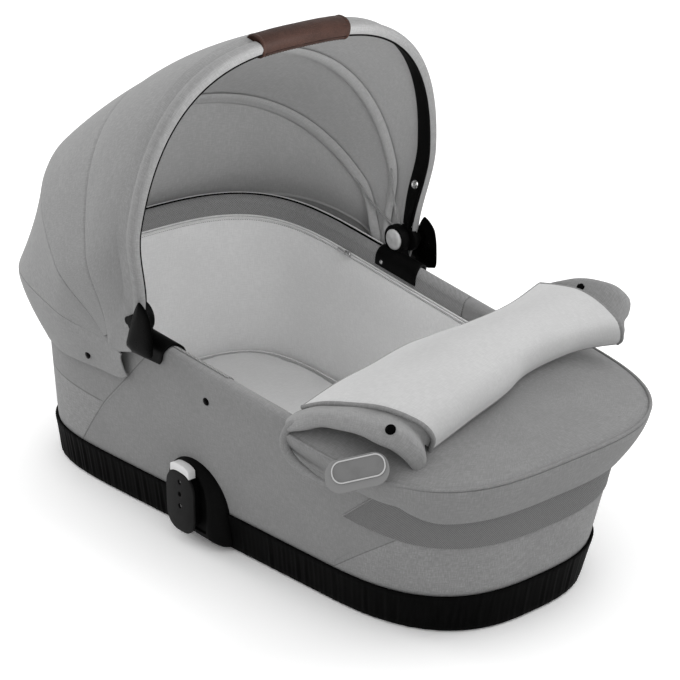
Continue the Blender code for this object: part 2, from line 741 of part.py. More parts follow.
def panel_rows(first, last, rows, crown, gap_shares=(1.0, 1.0)):
    """Rows of points between two ribs, crowned outwards, with a sewing gap at each rib."""
    normal = outward(first, last)
    span = np.linalg.norm(last - first, axis=1)
    grid = []
    for k in range(rows):
        trim_a = SEWN_GAP * gap_shares[0] / np.maximum(span, SEWN_GAP * 4)
        trim_b = SEWN_GAP * gap_shares[1] / np.maximum(span, SEWN_GAP * 4)
        share = trim_a + (1 - trim_a - trim_b) * k / (rows - 1)
        rise = crown * np.minimum(span / span.max(), 1.0) * 4 * share * (1 - share)
        grid.append(first + (last - first) * share[:, None] + normal * rise[:, None])
    return grid


def make_front_panel():
    """Front panel of the hood: rolled round the front bow and open at the grip."""
    half_wall = CLOTH_WALL / 2
    steps = RIB_STEPS
    edge = rib_points(FRONT_RIB, inset=half_wall + ROLL_TURN_IN, steps=steps, back=half_wall)
    corner = rib_points(FRONT_RIB, inset=half_wall, steps=steps, back=half_wall)
    crease = BOW_FRONT_GAP + (BOW_WIDTH + GRIP_WIDTH) / 2 + half_wall + SEAT_GAP
    back = rib_points(FRONT_RIB, inset=half_wall, steps=steps, back=crease)
    mid = rib_points(MID_RIB, inset=half_wall, steps=steps)
    rows = panel_rows(back, mid, 5, PANEL_CROWN, (0.0, 0.5))
    for row, share in zip(rows, FOOT_SAG_SHARES):
        for end, part in ((0, 1.0), (1, 0.4), (-1, 1.0), (-2, 0.4)):
            row[end, 2] -= FOOT_SAG * share * part
    grid = [edge, corner, (corner + back) / 2] + rows
    open_to = GRIP_HALF_LENGTH + CLOTH_WALL

    def at_grip(row, column):
        return row < 3 and abs(corner[column, 1] + corner[column + 1, 1]) / 2 < open_to

    sheet("canopy_front", grid, CLOTH_WALL, "canopy_cloth", skip=at_grip)


def make_rear_panels():
    """Middle and rear panels of the hood."""
    half_wall = CLOTH_WALL / 2
    mid = rib_points(MID_RIB, inset=half_wall)
    rear = rib_points(REAR_RIB, inset=half_wall)
    hem = rib_points(HEM_RIB, HEM_SQUARENESS_SHARE, inset=half_wall)
    sheet("canopy_mid", panel_rows(mid, rear, 5, PANEL_CROWN, (0.5, 0.5)), CLOTH_WALL, "canopy_cloth")
    grid = panel_rows(rear, hem, 7, REAR_PANEL_CROWN, (0.5, 0.5))

    def before_seams_meet(row, column):
        return max(hem[column][0], hem[column + 1][0]) > REAR_RIB["start"][0] - CLOTH_WALL * 2

    sheet("canopy_rear", grid, CLOTH_WALL, "canopy_cloth", skip=before_seams_meet)


def make_skirt():
    """Skirt of the hood, from its hem seam down over the outside of the tub."""
    half_wall = CLOTH_WALL / 2
    hem = rib_points(HEM_RIB, HEM_SQUARENESS_SHARE, inset=half_wall)
    fine = wall_ring(0.0, drop=0.0, count=RING_STEPS * 8)
    grid = []
    rows = 5
    lower = []
    for point in hem:
        toward_head = np.clip((SADDLE_REAR - point[0]) / (RIM_HEAD_LENGTH + SADDLE_REAR), 0, 1)
        depth = SKIRT_FRONT_DEPTH + (SKIRT_HEAD_DEPTH - SKIRT_FRONT_DEPTH) * smooth_step(toward_head * 1.6)
        near = fine[np.argmin(np.hypot(fine[:, 0] - point[0], fine[:, 1] - point[1]))]
        out = np.array([point[0] - near[0], point[1] - near[1], 0.0])
        lower.append((near, out, depth))
    ring = wall_ring(-SKIRT_HEM_CLEARANCE - half_wall, drop=SKIRT_HEAD_DEPTH * 0.8, count=RING_STEPS * 8)
    end = []
    for point, (near, out, depth) in zip(hem, lower):
        index = np.argmin(np.hypot(fine[:, 0] - near[0], fine[:, 1] - near[1]))
        below = ring[index].copy()
        below[2] = point[2] - depth
        end.append(below)
    end = np.array(end)
    start = hem.copy()
    start[:, 2] -= SEWN_GAP * 0.7
    for k in range(rows):
        share = k / (rows - 1)
        blend = share ** 1.3
        row = start + (end - start) * np.array([blend, blend, share])
        grid.append(row)
    sheet("canopy_skirt", grid, CLOTH_WALL, "canopy_cloth")
    for label, side in SIDES.items():
        columns = [k for k in range(len(hem)) if hem[k][1] * side > 0]
        column = min(columns, key=lambda k: abs(hem[k][0] - hem[columns[-1 if side > 0 else 0]][0] + SKIRT_SNAP_BACK))
        place, out = facet(grid, 2, column, CLOTH_WALL, (0.0, side, 0.0))
        snap(f"skirt_snap_{label}", place, out)


def bow_sections(steps, inset, thickness, width, front):
    """Rectangular sections of the flat front bow along the front rib."""
    middle_back = front + width / 2
    outer = rib_points(FRONT_RIB, inset=inset, steps=steps, back=middle_back)
    inner = rib_points(FRONT_RIB, inset=inset + thickness, steps=steps, back=middle_back)
    start, apex = Vector(FRONT_RIB["start"]), Vector(FRONT_RIB["apex"])
    run = (apex - start).normalized()
    ahead = np.array([run.y, 0.0, -run.x]) * width / 2
    sections = []
    for o, i in zip(outer, inner):
        rise = (o[2] - start.y) / (apex.y - start.y)
        half = ahead * (BOW_FOOT_SHARE + (1 - BOW_FOOT_SHARE) * smooth_step(rise / BOW_TAPER_SHARE))
        sections.append(np.array([o + half, o - half, i - half, i + half]))
    return sections


def make_front_bow():
    """Flat arch that carries the hood's front edge."""
    sections = bow_sections(RIB_STEPS, CLOTH_WALL + SEAT_GAP * 2, BOW_THICKNESS, BOW_WIDTH, BOW_FRONT_GAP)
    pivot = (PIVOT_X, 0.0, PIVOT_Z)
    loft("front_bow", sections, "black_plastic", origin=pivot)


def make_grip():
    """Leather-covered grip, a sleeve round the middle of the front bow."""
    outer = rib_curve(FRONT_RIB, inset=CLOTH_WALL + SEAT_GAP * 2 + BOW_THICKNESS / 2,
                      back=BOW_FRONT_GAP + BOW_WIDTH / 2, shares=np.linspace(-1.2, 1.2, 2400))
    want = np.linspace(-GRIP_HALF_LENGTH, GRIP_HALF_LENGTH, GRIP_STEPS + 1)
    path = np.stack([np.interp(want, outer[:, 1], outer[:, axis]) for axis in range(3)], 1)
    start, apex = Vector(FRONT_RIB["start"]), Vector(FRONT_RIB["apex"])
    run = (apex - start).normalized()
    ahead = np.array([run.y, 0.0, -run.x])
    along = np.gradient(path, axis=0)
    along /= np.linalg.norm(along, axis=1)[:, None]
    up = np.cross(ahead, along)
    up *= np.sign(up[:, 2])[:, None]
    turns = (np.arange(GRIP_LOOP) + 0.5) * 2 * math.pi / GRIP_LOOP
    outside, inside = [], []
    for point, lift in zip(path, up):
        outside.append([
            point + ahead * GRIP_WIDTH / 2 * math.cos(t) + lift * GRIP_HEIGHT / 2 * math.sin(t)
            for t in turns
        ])
        hole = []
        for t in turns:
            c, s = math.cos(t), math.sin(t)
            scale = 1 / max(abs(c), abs(s))
            hole.append(point + ahead * (BOW_WIDTH / 2 + GRIP_WALL_GAP) * c * scale
                        + lift * (BOW_THICKNESS / 2 + GRIP_WALL_GAP) * s * scale)
        inside.append(hole)
    loft("hood_grip", outside + inside[::-1], "leather", capped=False, origin=(PIVOT_X, 0.0, PIVOT_Z))


def thin_bow_path(rib, hub_y):
    """Path of a thin bow: from the hub on one side, under its seam, to the other hub."""
    seam = rib_points(rib, inset=CLOTH_WALL + THIN_BOW_RADIUS + SEAT_GAP * 4, steps=RIB_STEPS)
    start, apex = Vector(rib["start"]), Vector(rib["apex"])
    reach = (apex - start).length
    risen = np.hypot(seam[:, 0] - start.x, seam[:, 2] - start.y) / reach
    path = []
    for side, half in ((-1, slice(None, RIB_STEPS + 1)), (1, slice(RIB_STEPS + 1, None))):
        points, rises = seam[half], risen[half]
        hub = np.array([PIVOT_X, side * hub_y, PIVOT_Z])
        joins = points[np.argmin(np.abs(rises - THIN_BOW_JOIN_SHARE))]
        for point, rise in zip(points, rises):
            share = rise / THIN_BOW_JOIN_SHARE
            run = (joins - hub) * (share, share * share, share)
            path.append(point if share >= 1 else hub + run)
    return np.array(path)


MID_HUB_FACE = BOSS_OUTER_FACE + SEAT_GAP + HUB_THICKNESS + SEAT_GAP
REAR_HUB_FACE = MID_HUB_FACE + EYE_THICKNESS + SEAT_GAP * 2
HUB_STACK_END = REAR_HUB_FACE + EYE_THICKNESS


COVER_FACE = FRONT_RIB["foot"] + COVER_CLEARANCE


def make_thin_bows():
    """Mid and rear bows: round rods under the seams, each with a flat eye at both pivots."""
    pivot = (PIVOT_X, 0.0, PIVOT_Z)
    for name, rib, face in (("mid_bow", MID_RIB, MID_HUB_FACE), ("rear_bow", REAR_RIB, REAR_HUB_FACE)):
        hub_y = face + EYE_THICKNESS / 2
        path = thin_bow_path(rib, hub_y)
        radius = EYE_RADIUS
        away = np.hypot(path[:, 0] - PIVOT_X, path[:, 2] - PIVOT_Z)
        path = path[away > radius * 1.1]
        ends = []
        for point in (path[0], path[-1]):
            hub = np.array([PIVOT_X, math.copysign(hub_y, point[1]), PIVOT_Z])
            ends.append(hub + (point - hub) * (radius * 0.7 / np.linalg.norm(point - hub)))
        path = np.concatenate([[ends[0]], path, [ends[1]]])
        bow = rod(name, path, THIN_BOW_RADIUS, "black_plastic", origin=pivot)
        bow_mesh = to_mesh(bow)
        for side in SIDES.values():
            eye = disc("eye_guide", PIVOT_X, PIVOT_Z, side, (face, face + EYE_THICKNESS), radius,
                       "black_plastic", count=14)
            cut(bow_mesh, eye, "UNION")
            cut(bow_mesh, pin_hole(side))


def to_mesh(item):
    """Turn a curve object into a mesh object of the same name and place."""
    graph = bpy.context.evaluated_depsgraph_get()
    mesh = bpy.data.meshes.new_from_object(item.evaluated_get(graph))
    name, place = item.name, item.location.copy()
    finish = item.data.materials[0]
    bpy.data.objects.remove(item, do_unlink=True)
    mesh.materials.clear()
    mesh.materials.append(finish)
    mesh.shade_smooth()
    solid = bpy.data.objects.new(name, mesh)
    solid.location = place
    bpy.context.collection.objects.link(solid)
    return solid


def pin_hole(side):
    """Cutter for the pivot pin's running hole through everything on it."""
    faces_y = (BOSS_INNER_FACE - CUT_OVERRUN, HUB_STACK_END + CUT_OVERRUN)
    return disc("pin_hole_guide", PIVOT_X, PIVOT_Z, side, faces_y, PIN_RADIUS + PIN_GAP,
                "black_plastic", count=12)


def make_bow_feet():
    """Bow feet: an eye on the pivot and an arm up to the end of the front bow."""
    pivot = (PIVOT_X, 0.0, PIVOT_Z)
    face = BOSS_OUTER_FACE + SEAT_GAP
    sections = bow_sections(RIB_STEPS, CLOTH_WALL + SEAT_GAP * 2, BOW_THICKNESS, BOW_WIDTH, BOW_FRONT_GAP)
    for label, side in SIDES.items():
        name = f"bow_foot_{label}"
        eye = disc(name, PIVOT_X, PIVOT_Z, side, (face, face + HUB_THICKNESS), HUB_RADIUS,
                   "black_plastic", origin=pivot)
        end = sections[-1] if side > 0 else sections[0]
        bottom = end.mean(axis=0)
        top_z = end[:, 2].min() - SEAT_GAP
        neck_z = top_z - HUB_RADIUS / 2
        half = BOW_WIDTH / 2 * BOW_FOOT_SHARE
        x_top = bottom[0]
        x_low = PIVOT_X
        arm = []
        for z, x, wide, y_in, y_out in (
            (PIVOT_Z, x_low, HUB_RADIUS * 0.9, face, face + HUB_THICKNESS),
            (neck_z, (x_low + 2 * x_top) / 3, half * 1.2, face, face + HUB_THICKNESS),
            (top_z, x_top, half, abs(end[:, 1]).min(), abs(end[:, 1]).max() - COVER_THICKNESS / 4),
        ):
            arm.append([(x - wide, side * y_in, z), (x + wide, side * y_in, z),
                        (x + wide, side * y_out, z), (x - wide, side * y_out, z)])
        cut(eye, loft("arm_guide", arm, "black_plastic"), "UNION")
        cut(eye, pin_hole(side))


def make_hinge_covers():
    """Leaf-shaped glossy covers over the outside of the hood hinges."""
    pivot = (PIVOT_X, 0.0, PIVOT_Z)
    face = COVER_FACE
    foot = PIVOT_Z - COVER_BOTTOM
    edge = [(COVER_X + COVER_WIDTH / 2 * right, foot + COVER_HEIGHT * up) for up, _, right in COVER_SHARES]
    edge += [(COVER_X + COVER_WIDTH / 2 * left, foot + COVER_HEIGHT * up) for up, left, _ in COVER_SHARES[-2::-1]]
    middle = np.array([COVER_X, foot + COVER_HEIGHT * 0.35])
    for label, side in SIDES.items():
        rings = []
        for y, share in ((0.0, 1.0), (0.45, 0.97), (0.8, 0.82), (1.0, 0.4)):
            loop = middle + (np.array(edge) - middle) * share
            rings.append([(x, side * (face + COVER_THICKNESS * y), h) for x, h in loop])
        loft(f"hinge_cover_{label}", rings, "gloss_black", origin=pivot, sharp=50.0)


def make_hinges():
    """Saddles over the rim with a round boss, the sprung release button and the pivot pin."""
    for label, side in SIDES.items():
        saddle = make_saddle(label, side)
        boss = disc("boss_guide", PIVOT_X, PIVOT_Z, side, (BOSS_INNER_FACE, BOSS_OUTER_FACE), BOSS_RADIUS,
                    "black_plastic")
        cut(saddle, boss, "UNION")
        cut(saddle, rim_envelope(side))
        pocket = disc("pocket_guide", PIVOT_X, PIVOT_Z, side,
                      (BOSS_INNER_FACE - CUT_OVERRUN, BOSS_INNER_FACE + BUTTON_POCKET),
                      BUTTON_RADIUS + BUTTON_GAP, "black_plastic")
        cut(saddle, pocket)
        cut(saddle, pin_hole(side))
        make_button(label, side)
        pin_face = BOSS_INNER_FACE + BUTTON_POCKET + SEAT_GAP
        head = HUB_STACK_END + SEAT_GAP
        rings = []
        for y, radius in ((pin_face, PIN_RADIUS), (head, PIN_RADIUS), (head, PIN_HEAD_RADIUS),
                          (COVER_FACE - SEAT_GAP, PIN_HEAD_RADIUS)):
            rings.append([(PIVOT_X + x, side * y, PIVOT_Z + z) for x, z in circle(16, radius)])
        loft(f"hood_pin_{label}", rings, "steel")


def saddle_rings(side, section, ends):
    """Loops of a section swept along the rim between two places, on one side."""
    rings = []
    for x in np.linspace(ends[0], ends[1], 4):
        loop = []
        for inset, drop in section:
            place = place_on_wall(x, side, drop, -inset)
            loop.append(tuple(place))
        rings.append(loop)
    return rings


def make_saddle(label, side):
    """A cap that grips the rolled rim from above."""
    gap = SEAT_GAP
    reach = ROLL_RADIUS + gap * 3
    outer = reach + SADDLE_WALL
    centre = ROLL_RADIUS
    section = [(centre - outer, SADDLE_OUTER_DEPTH)]
    for angle in np.radians(np.linspace(180, 0, 6)):
        section.append((centre + outer * math.cos(angle), centre - outer * math.sin(angle)))
    section.append((centre + outer, SADDLE_INNER_DEPTH))
    section.append((centre + reach, SADDLE_INNER_DEPTH))
    for angle in np.radians(np.linspace(0, 180, 6)):
        section.append((centre + reach * math.cos(angle), centre - reach * math.sin(angle)))
    section.append((centre - reach, SADDLE_OUTER_DEPTH))
    rings = saddle_rings(side, section, (SADDLE_REAR, SADDLE_FRONT))
    return loft(f"hinge_saddle_{label}", rings, "black_plastic")


def rim_envelope(side):
    """Cutter that keeps the boss off the rolled rim and the wall below it."""
    reach = ROLL_RADIUS + SEAT_GAP * 3
    section = [(ROLL_RADIUS - reach, 2 * SADDLE_OUTER_DEPTH)]
    for angle in np.radians(np.linspace(180, 0, 6)):
        section.append((ROLL_RADIUS + reach * math.cos(angle), ROLL_RADIUS - reach * math.sin(angle)))
    section.append((ROLL_RADIUS + reach, 2 * SADDLE_OUTER_DEPTH))
    ends = (SADDLE_REAR - CUT_OVERRUN, SADDLE_FRONT + CUT_OVERRUN)
    return loft("rim_guide", saddle_rings(side, section, ends), "black_plastic")


def make_button(label, side):
    """Round release button with a domed face, and the coil spring behind it."""
    face = BOSS_INNER_FACE - BUTTON_PROUD
    rings = []
    for y, share in ((0.0, 0.72), (0.12, 0.93), (0.3, 1.0), (1.0, 1.0)):
        rings.append([
            (PIVOT_X + x, side * (face + BUTTON_THICKNESS * y), PIVOT_Z + z)
            for x, z in circle(28, BUTTON_RADIUS * share)
        ])
    axis_point = (PIVOT_X, side * face, PIVOT_Z)
    loft(f"hood_button_{label}", rings, "grey_plastic", origin=axis_point)
    low = face + BUTTON_THICKNESS + SPRING_WIRE + SEAT_GAP
    high = BOSS_INNER_FACE + BUTTON_POCKET - SPRING_WIRE - SEAT_GAP
    path = []
    for k in range(SPRING_TURNS * 9 + 1):
        turn = k * 2 * math.pi / 9
        y = low + (high - low) * k / (SPRING_TURNS * 9)
        path.append((PIVOT_X + BUTTON_SPRING_RADIUS * math.cos(turn), side * y,
                     PIVOT_Z + BUTTON_SPRING_RADIUS * math.sin(turn)))
    rod(f"button_spring_{label}", path, SPRING_WIRE, "steel", detail=0)


def make_studs():
    """Metal studs that hold the hood cloth to the inside of the front bow."""
    inset = CLOTH_WALL + SEAT_GAP * 2 + BOW_THICKNESS
    line = rib_points(FRONT_RIB, inset=inset, back=BOW_FRONT_GAP + BOW_WIDTH / 2)
    middle = len(line) // 2
    for label, side in SIDES.items():
        half = line[middle:] if side > 0 else line[middle::-1]
        index = int(np.argmin(np.abs(half[:-1, 2] - PIVOT_Z - STUD_REACH)))
        point = (half[index] + half[index + 1]) / 2
        along = half[index + 1] - half[index]
        along /= np.linalg.norm(along)
        start, apex = Vector(FRONT_RIB["start"]), Vector(FRONT_RIB["apex"])
        run = (apex - start).normalized()
        ahead = np.array([run.y, 0.0, -run.x])
        inward = np.cross(along, ahead)
        inward *= -side * np.sign(inward[1])
        rings = []
        for lift, radius in ((SEAT_GAP, STUD_RADIUS), (STUD_HEIGHT * 0.6, STUD_RADIUS),
                             (STUD_HEIGHT, STUD_RADIUS * 0.6)):
            rings.append([point + inward * lift + ahead * a + along * b for a, b in circle(12, radius)])
        loft(f"bow_stud_{label}", rings, "steel", origin=(PIVOT_X, 0.0, PIVOT_Z))


def facet(grid, row, column, wall, toward):
    """Middle of one facet of a sheet, on its outer face, and the facet's direction."""
    corners = [np.asarray(grid[row + a][column + b]) for a, b in ((0, 0), (0, 1), (1, 1), (1, 0))]
    out = np.cross(corners[2] - corners[0], corners[3] - corners[1])
    out /= np.linalg.norm(out)
    out *= math.copysign(1.0, float(np.dot(out, toward)))
    return sum(corners) / 4 + out * (wall / 2 + SEAT_GAP), out


def snap(name, place, out):
    """One snap cap: a low dome standing on a surface, facing out."""
    out = Vector(out).normalized()
    first = out.cross(Vector((0, 0, 1)))
    if first.length < 1e-3:
        first = Vector((1, 0, 0))
    first.normalize()
    second = out.cross(first)
    rings = []
    for lift, share in ((0.0, 1.0), (0.55, 1.0), (1.0, 0.6)):
        rings.append([
            tuple(Vector(place) + out * (SNAP_HEIGHT * lift + SEAT_GAP) + first * a + second * b)
            for a, b in circle(10, SNAP_RADIUS * share)
        ])
    return loft(name, rings, "gloss_black")


def wall_out(side):
    """Outward direction of the tub's side wall."""
    lean = (RIM_HALF_WIDTH - BASE_HALF_WIDTH) / RIM_HEIGHT
    return (RIM_HALF_WIDTH * RIM_NARROWING_SHARE, side, -lean)


def make_side_snaps():
    """A snap on each side of the tub, for the apron's edge."""
    for label, side in SIDES.items():
        place = place_on_wall(SIDE_SNAP_X, side, SIDE_SNAP_DROP)
        snap(f"side_snap_{label}", place, wall_out(side))


# Apron and flap


def apron_edge(outside, count, drop=0.0):
    """Loop of the wall pushed outwards, only where the apron covers it."""
    ring = wall_ring(-outside, drop=drop, count=count)
    turn = np.roll(ring, count // 2, axis=0)
    covered = turn[turn[:, 0] > APRON_START]
    for end in (0, -1):
        covered[end, 2] += rim_height(APRON_START) - rim_height(covered[end, 0])
        covered[end, 0] = APRON_START
    return covered


def make_apron():
    """Apron: crowned top, piped edge and a skirt round the foot of the tub."""
    edge = apron_edge(APRON_OVERHANG, RING_STEPS * 3 // 2)
    hem_ring = apron_edge(0.0, RING_STEPS * 6, drop=APRON_SIDE_SKIRT)
    fold = flap_layers()[1][:, 0]
    grid = []
    for point in edge:
        near = np.argmin(np.hypot(hem_ring[:, 0] - point[0], hem_ring[:, 1] - point[1]))
        foot = hem_ring[near] * (1, 1, 0)
        toward = point * (1, 1, 0) - foot
        toward /= np.linalg.norm(toward)
        end_share = smooth_step((point[0] - APRON_SPINE_END) / (RIM_FOOT_LENGTH - APRON_SPINE_END))
        depth = APRON_SIDE_SKIRT + (APRON_SKIRT - APRON_SIDE_SKIRT) * end_share
        off = APRON_SIDE_CLEARANCE + (APRON_HEM_CLEARANCE - APRON_SIDE_CLEARANCE) * end_share
        hem = foot + toward * off
        row = []
        for share in (1.0, 0.66, 0.33):
            lower = point + (hem - point) * share ** 1.5
            lower[2] = point[2] - depth * share
            row.append(lower)
        spine_x = min(point[0], APRON_SPINE_END)
        spine = np.array([spine_x, 0.0, 0.0])
        plan_reach = math.hypot(point[0] - spine_x, point[1])
        for k in range(APRON_ROWS):
            share = (k / (APRON_ROWS - 1)) ** 0.85
            place = point + (spine - point) * share
            reach = math.hypot(place[0] - spine_x, place[1])
            along = np.clip((place[0] - APRON_START) / (RIM_FOOT_LENGTH + APRON_OVERHANG - APRON_START), 0, 1)
            crown = APRON_CREST_HEIGHT + (APRON_FOOT_CROWN - APRON_CREST_HEIGHT) * smooth_step(along)
            place[2] = rim_height(place[0]) + crown * (1 - (reach / plan_reach) ** 2.6)
            seat = np.interp(place[1], fold[:, 1], fold[:, 2]) - APRON_FOLD_GAP
            lift = np.clip(seat - place[2], 0.0, APRON_RISE_LIMIT) if k > 1 else -APRON_CORNER_DROP * (k == 1)
            place[2] += lift * (1 - smooth_step((place[0] - APRON_START) / APRON_RISE_LENGTH))
            row.append(place)
        grid.append(row)
    sheet("apron", grid, APRON_WALL, "tub_cloth", weld=SEAT_GAP)
    lift = APRON_WALL / 2 + APRON_PIPING_RADIUS + SEAT_GAP
    cord = apron_edge(APRON_OVERHANG, RING_STEPS)
    cord[:, 2] += lift
    rod("apron_piping", cord[1:-1], APRON_PIPING_RADIUS, "canopy_cloth")


def along(table, count):
    """Points at even steps along a smooth curve through a table of places."""
    table = np.asarray(table, float)
    step = np.linalg.norm(np.diff(table, axis=0), axis=1)
    at = np.concatenate([[0.0], np.cumsum(step)])
    want = np.linspace(0, at[-1], count)
    slope = np.gradient(table, at, axis=0)
    k = np.clip(np.searchsorted(at, want, side="right") - 1, 0, len(at) - 2)
    span = (at[k + 1] - at[k])[:, None]
    t = (want[:, None] - at[k][:, None]) / span
    return (
        table[k] * (2 * t**3 - 3 * t**2 + 1) + slope[k] * span * (t**3 - 2 * t**2 + t)
        + table[k + 1] * (3 * t**2 - 2 * t**3) + slope[k + 1] * span * (t**3 - t**2)
    )


def flap_place(shares):
    """A place on the flap from its shares: along the flap's width, across the tub, and up."""
    x, y, z = shares
    place_x = FLAP_CREST_X + x * FLAP_WIDTH
    return (place_x, y * FLAP_HALF_LENGTH, rim_height(FLAP_CREST_X) + z * FLAP_RISE)


def flap_grid(rows, columns):
    """Grid of the flap between its four edges, from its right end to its left end."""
    right, left, head, free = (
        [flap_place(place) for place in table]
        for table in (FLAP_RIGHT_SHARES, FLAP_LEFT_SHARES, FLAP_HEAD_SHARES, FLAP_FREE_SHARES)
    )
    right, left = along(right, rows), along(left, rows)
    head, free = along(head, columns), along(free, columns)
    grid = np.zeros((columns, rows, 3))
    for i in range(columns):
        t = i / (columns - 1)
        for j in range(rows):
            s = j / (rows - 1)
            sides = right[j] * (1 - t) + left[j] * t + head[i] * (1 - s) + free[i] * s
            corners = (right[0] * (1 - t) + left[0] * t) * (1 - s) + (right[-1] * (1 - t) + left[-1] * t) * s
            grid[i, j] = sides - corners
            grid[i, j, 2] += FLAP_BULGE * math.sin(math.pi * s) * math.sin(math.pi * t) ** 0.5
    return grid


def flap_layers():
    """Grids of the flap's two layers: the lining on top and the cloth below it."""
    lining = flap_grid(FLAP_ROWS, FLAP_STEPS)
    down = np.cross(np.gradient(lining, axis=0), np.gradient(lining, axis=1))
    down /= np.linalg.norm(down, axis=2)[:, :, None]
    down *= -np.sign(down[FLAP_STEPS // 2, FLAP_ROWS // 2, 2])
    cloth = lining + down * (FLAP_WALL + SEWN_GAP)
    hang = np.linspace(1, 0, FLAP_ROWS)[:, None] * (0, 0, FLAP_OVERHANG / 3)
    first = cloth[0] + (-FLAP_OVERHANG / 8, -FLAP_OVERHANG * 0.75, -FLAP_OVERHANG * 0.1) - hang
    last = cloth[-1] + (FLAP_OVERHANG / 2, FLAP_OVERHANG * 0.8, FLAP_OVERHANG * 0.3)
    return lining, np.concatenate([[first], cloth, [last]])


def make_flap():
    """Wind flap: a pale lining on top of grey cloth, folded back over the apron."""
    hinge = flap_place(FLAP_HINGE_SHARES)
    lining, cloth = flap_layers()
    sheet("flap_lining", lining, FLAP_WALL, "flap_lining", origin=hinge)
    sheet("flap_cloth", cloth, FLAP_WALL, "canopy_cloth", origin=hinge)
    for label, column in (("right", 0), ("left", len(cloth) - 2)):
        place, out = facet(cloth, column, FLAP_ROWS // 3, FLAP_WALL, (0, 0, 1))
        snap(f"flap_snap_{label}", place, out)


def make_window():
    """Woven mesh window round the foot of the shell, below the apron."""
    count = RING_STEPS
    reach = round(WINDOW_SPREAD_SHARE * count)
    place = np.arange(count)
    away = np.minimum(place, count - place) / reach
    swell = np.clip(1 - away ** 4, 0.15, 1)
    rows = []
    for share in (0.0, 1.0):
        drop = WINDOW_TOP_DROP + WINDOW_DEPTH * (0.4 + (share - 0.4) * swell)
        ring = wall_ring(-WINDOW_WALL / 2 - SEAT_GAP * 5, drop=drop, count=count)
        rows.append(part_of(ring, 0.0, WINDOW_SPREAD_SHARE))
    sheet("foot_window", rows, WINDOW_WALL, "mesh_cloth")


def make_tag():
    """Rounded tag sewn to the apron's right edge, with a raised border and a bare middle."""
    edge = wall_ring(-APRON_OVERHANG - APRON_WALL - SEAT_GAP, drop=0.0, count=RING_STEPS * 8)
    edge = edge[edge[:, 1] < 0]
    edge = edge[np.argsort(edge[:, 0])]
    start = int(np.argmin(np.abs(edge[:, 0] - TAG_X)))
    path = np.concatenate([[0.0], np.cumsum(np.linalg.norm(np.diff(edge, axis=0), axis=1))])
    path -= path[start]
    loop = []
    for a in np.arange(20) * 2 * math.pi / 20:
        c, s = math.cos(a), math.sin(a)
        loop.append((
            math.copysign(abs(c) ** TAG_SQUARENESS_SHARE, c) * TAG_LENGTH / 2,
            math.copysign(abs(s) ** TAG_SQUARENESS_SHARE, s) * TAG_WIDTH / 2,
        ))
    rings = []
    for out, share in ((0.0, 1.0), (0.75, 1.0), (1.0, 0.94), (1.0, 0.84), (0.75, 0.80)):
        ring = []
        for u, v in loop:
            place = [np.interp(u * share, path, edge[:, axis]) for axis in range(3)]
            ahead = [np.interp(u * share + TAG_THICKNESS, path, edge[:, axis]) for axis in range(3)]
            run = Vector(ahead) - Vector(place)
            outside = Vector((run.y, -run.x, 0)).normalized()
            point = Vector(place) + outside * TAG_THICKNESS * out
            point.z += TAG_RISE + v * share
            ring.append(tuple(point))
        rings.append(ring)
    loft("apron_tag", rings, "grey_plastic")


# Adapters


def plate_loop(width, foot, top, count=9):
    """Outline of an upright plate with rounded ends, as (x, z) pairs about its middle."""
    half = width / 2
    power = 2 / PLATE_SQUARENESS_SHARE
    loop = []
    for a in np.linspace(0, math.pi, count):
        c, s = math.cos(a), math.sin(a)
        loop.append((half * math.copysign(abs(c) ** power, c), top - half + half * abs(s) ** power))
    for a in np.linspace(0, math.pi, count):
        c, s = math.cos(a), math.sin(a)
        loop.append((-half * math.copysign(abs(c) ** power, c), foot + half - half * abs(s) ** power))
    return loop


def make_adapters():
    """Adapter on each side: arched housing, mounting plate on a neck, release tab and spring."""
    for label, side in SIDES.items():
        make_housing(label, side)
        make_plate(label, side)
        make_tab(label, side)
        for place, k in (("upper", 0), ("lower", 2)):
            z = PLATE_TOP - PLATE_HOLE_TOP - k * PLATE_HOLE_PITCH
            y = PLATE_FACE - PLATE_THICKNESS + SEAT_GAP
            disc(f"adapter_screw_{place}_{label}", ADAPTER_X, z, side, (y, y + SCREW_HEIGHT), SCREW_RADIUS,
                 "steel", count=12)


def tub_envelope():
    """Guide a seating gap larger than the band and the shell."""
    folds = BAND_FOLD + SEAT_GAP * 2
    levels = (
        (-BAND_HEIGHT, folds), (BAND_LIFT, folds), ((BAND_LIFT + BAND_HEIGHT) / 2, folds + BAND_FLARE / 3),
        (BAND_HEIGHT, folds + BAND_FLARE), (BAND_HEIGHT + folds, SEAT_GAP), (HOUSING_TOP * 1.2, SEAT_GAP),
    )
    return loft("tub_guide", [wall_ring(-out, height=z) for z, out in levels], "black_plastic")


def make_housing(label, side):
    """Domed arch on the side of the base that carries the plate."""
    lean = (HOUSING_BACK_TOP - HOUSING_BACK_FOOT) / (HOUSING_TOP - HOUSING_FOOT)
    rings = []
    for share in (0.0, 0.35, 0.8, 1.0):
        width = HOUSING_WIDTH + (HOUSING_FACE_WIDTH - HOUSING_WIDTH) * share ** 2
        foot = HOUSING_FOOT + (HOUSING_FACE_FOOT - HOUSING_FOOT) * share ** 2
        top = HOUSING_TOP + (HOUSING_FACE_TOP - HOUSING_TOP) * share ** 2
        half = width / 2
        loop = [(half, foot)]
        loop += [
            (half * math.cos(a), top - half + half * math.sin(a)) for a in np.linspace(0, math.pi, 13)
        ]
        loop.append((-half, foot))
        ring = []
        for x, z in loop:
            back = HOUSING_BACK_FOOT + lean * (z - HOUSING_FOOT)
            ring.append((ADAPTER_X + x, side * (back + (HOUSING_FACE - back) * share), z))
        rings.append(ring)
    housing = loft(f"adapter_housing_{label}", rings, "black_plastic")
    cut(housing, tub_envelope())


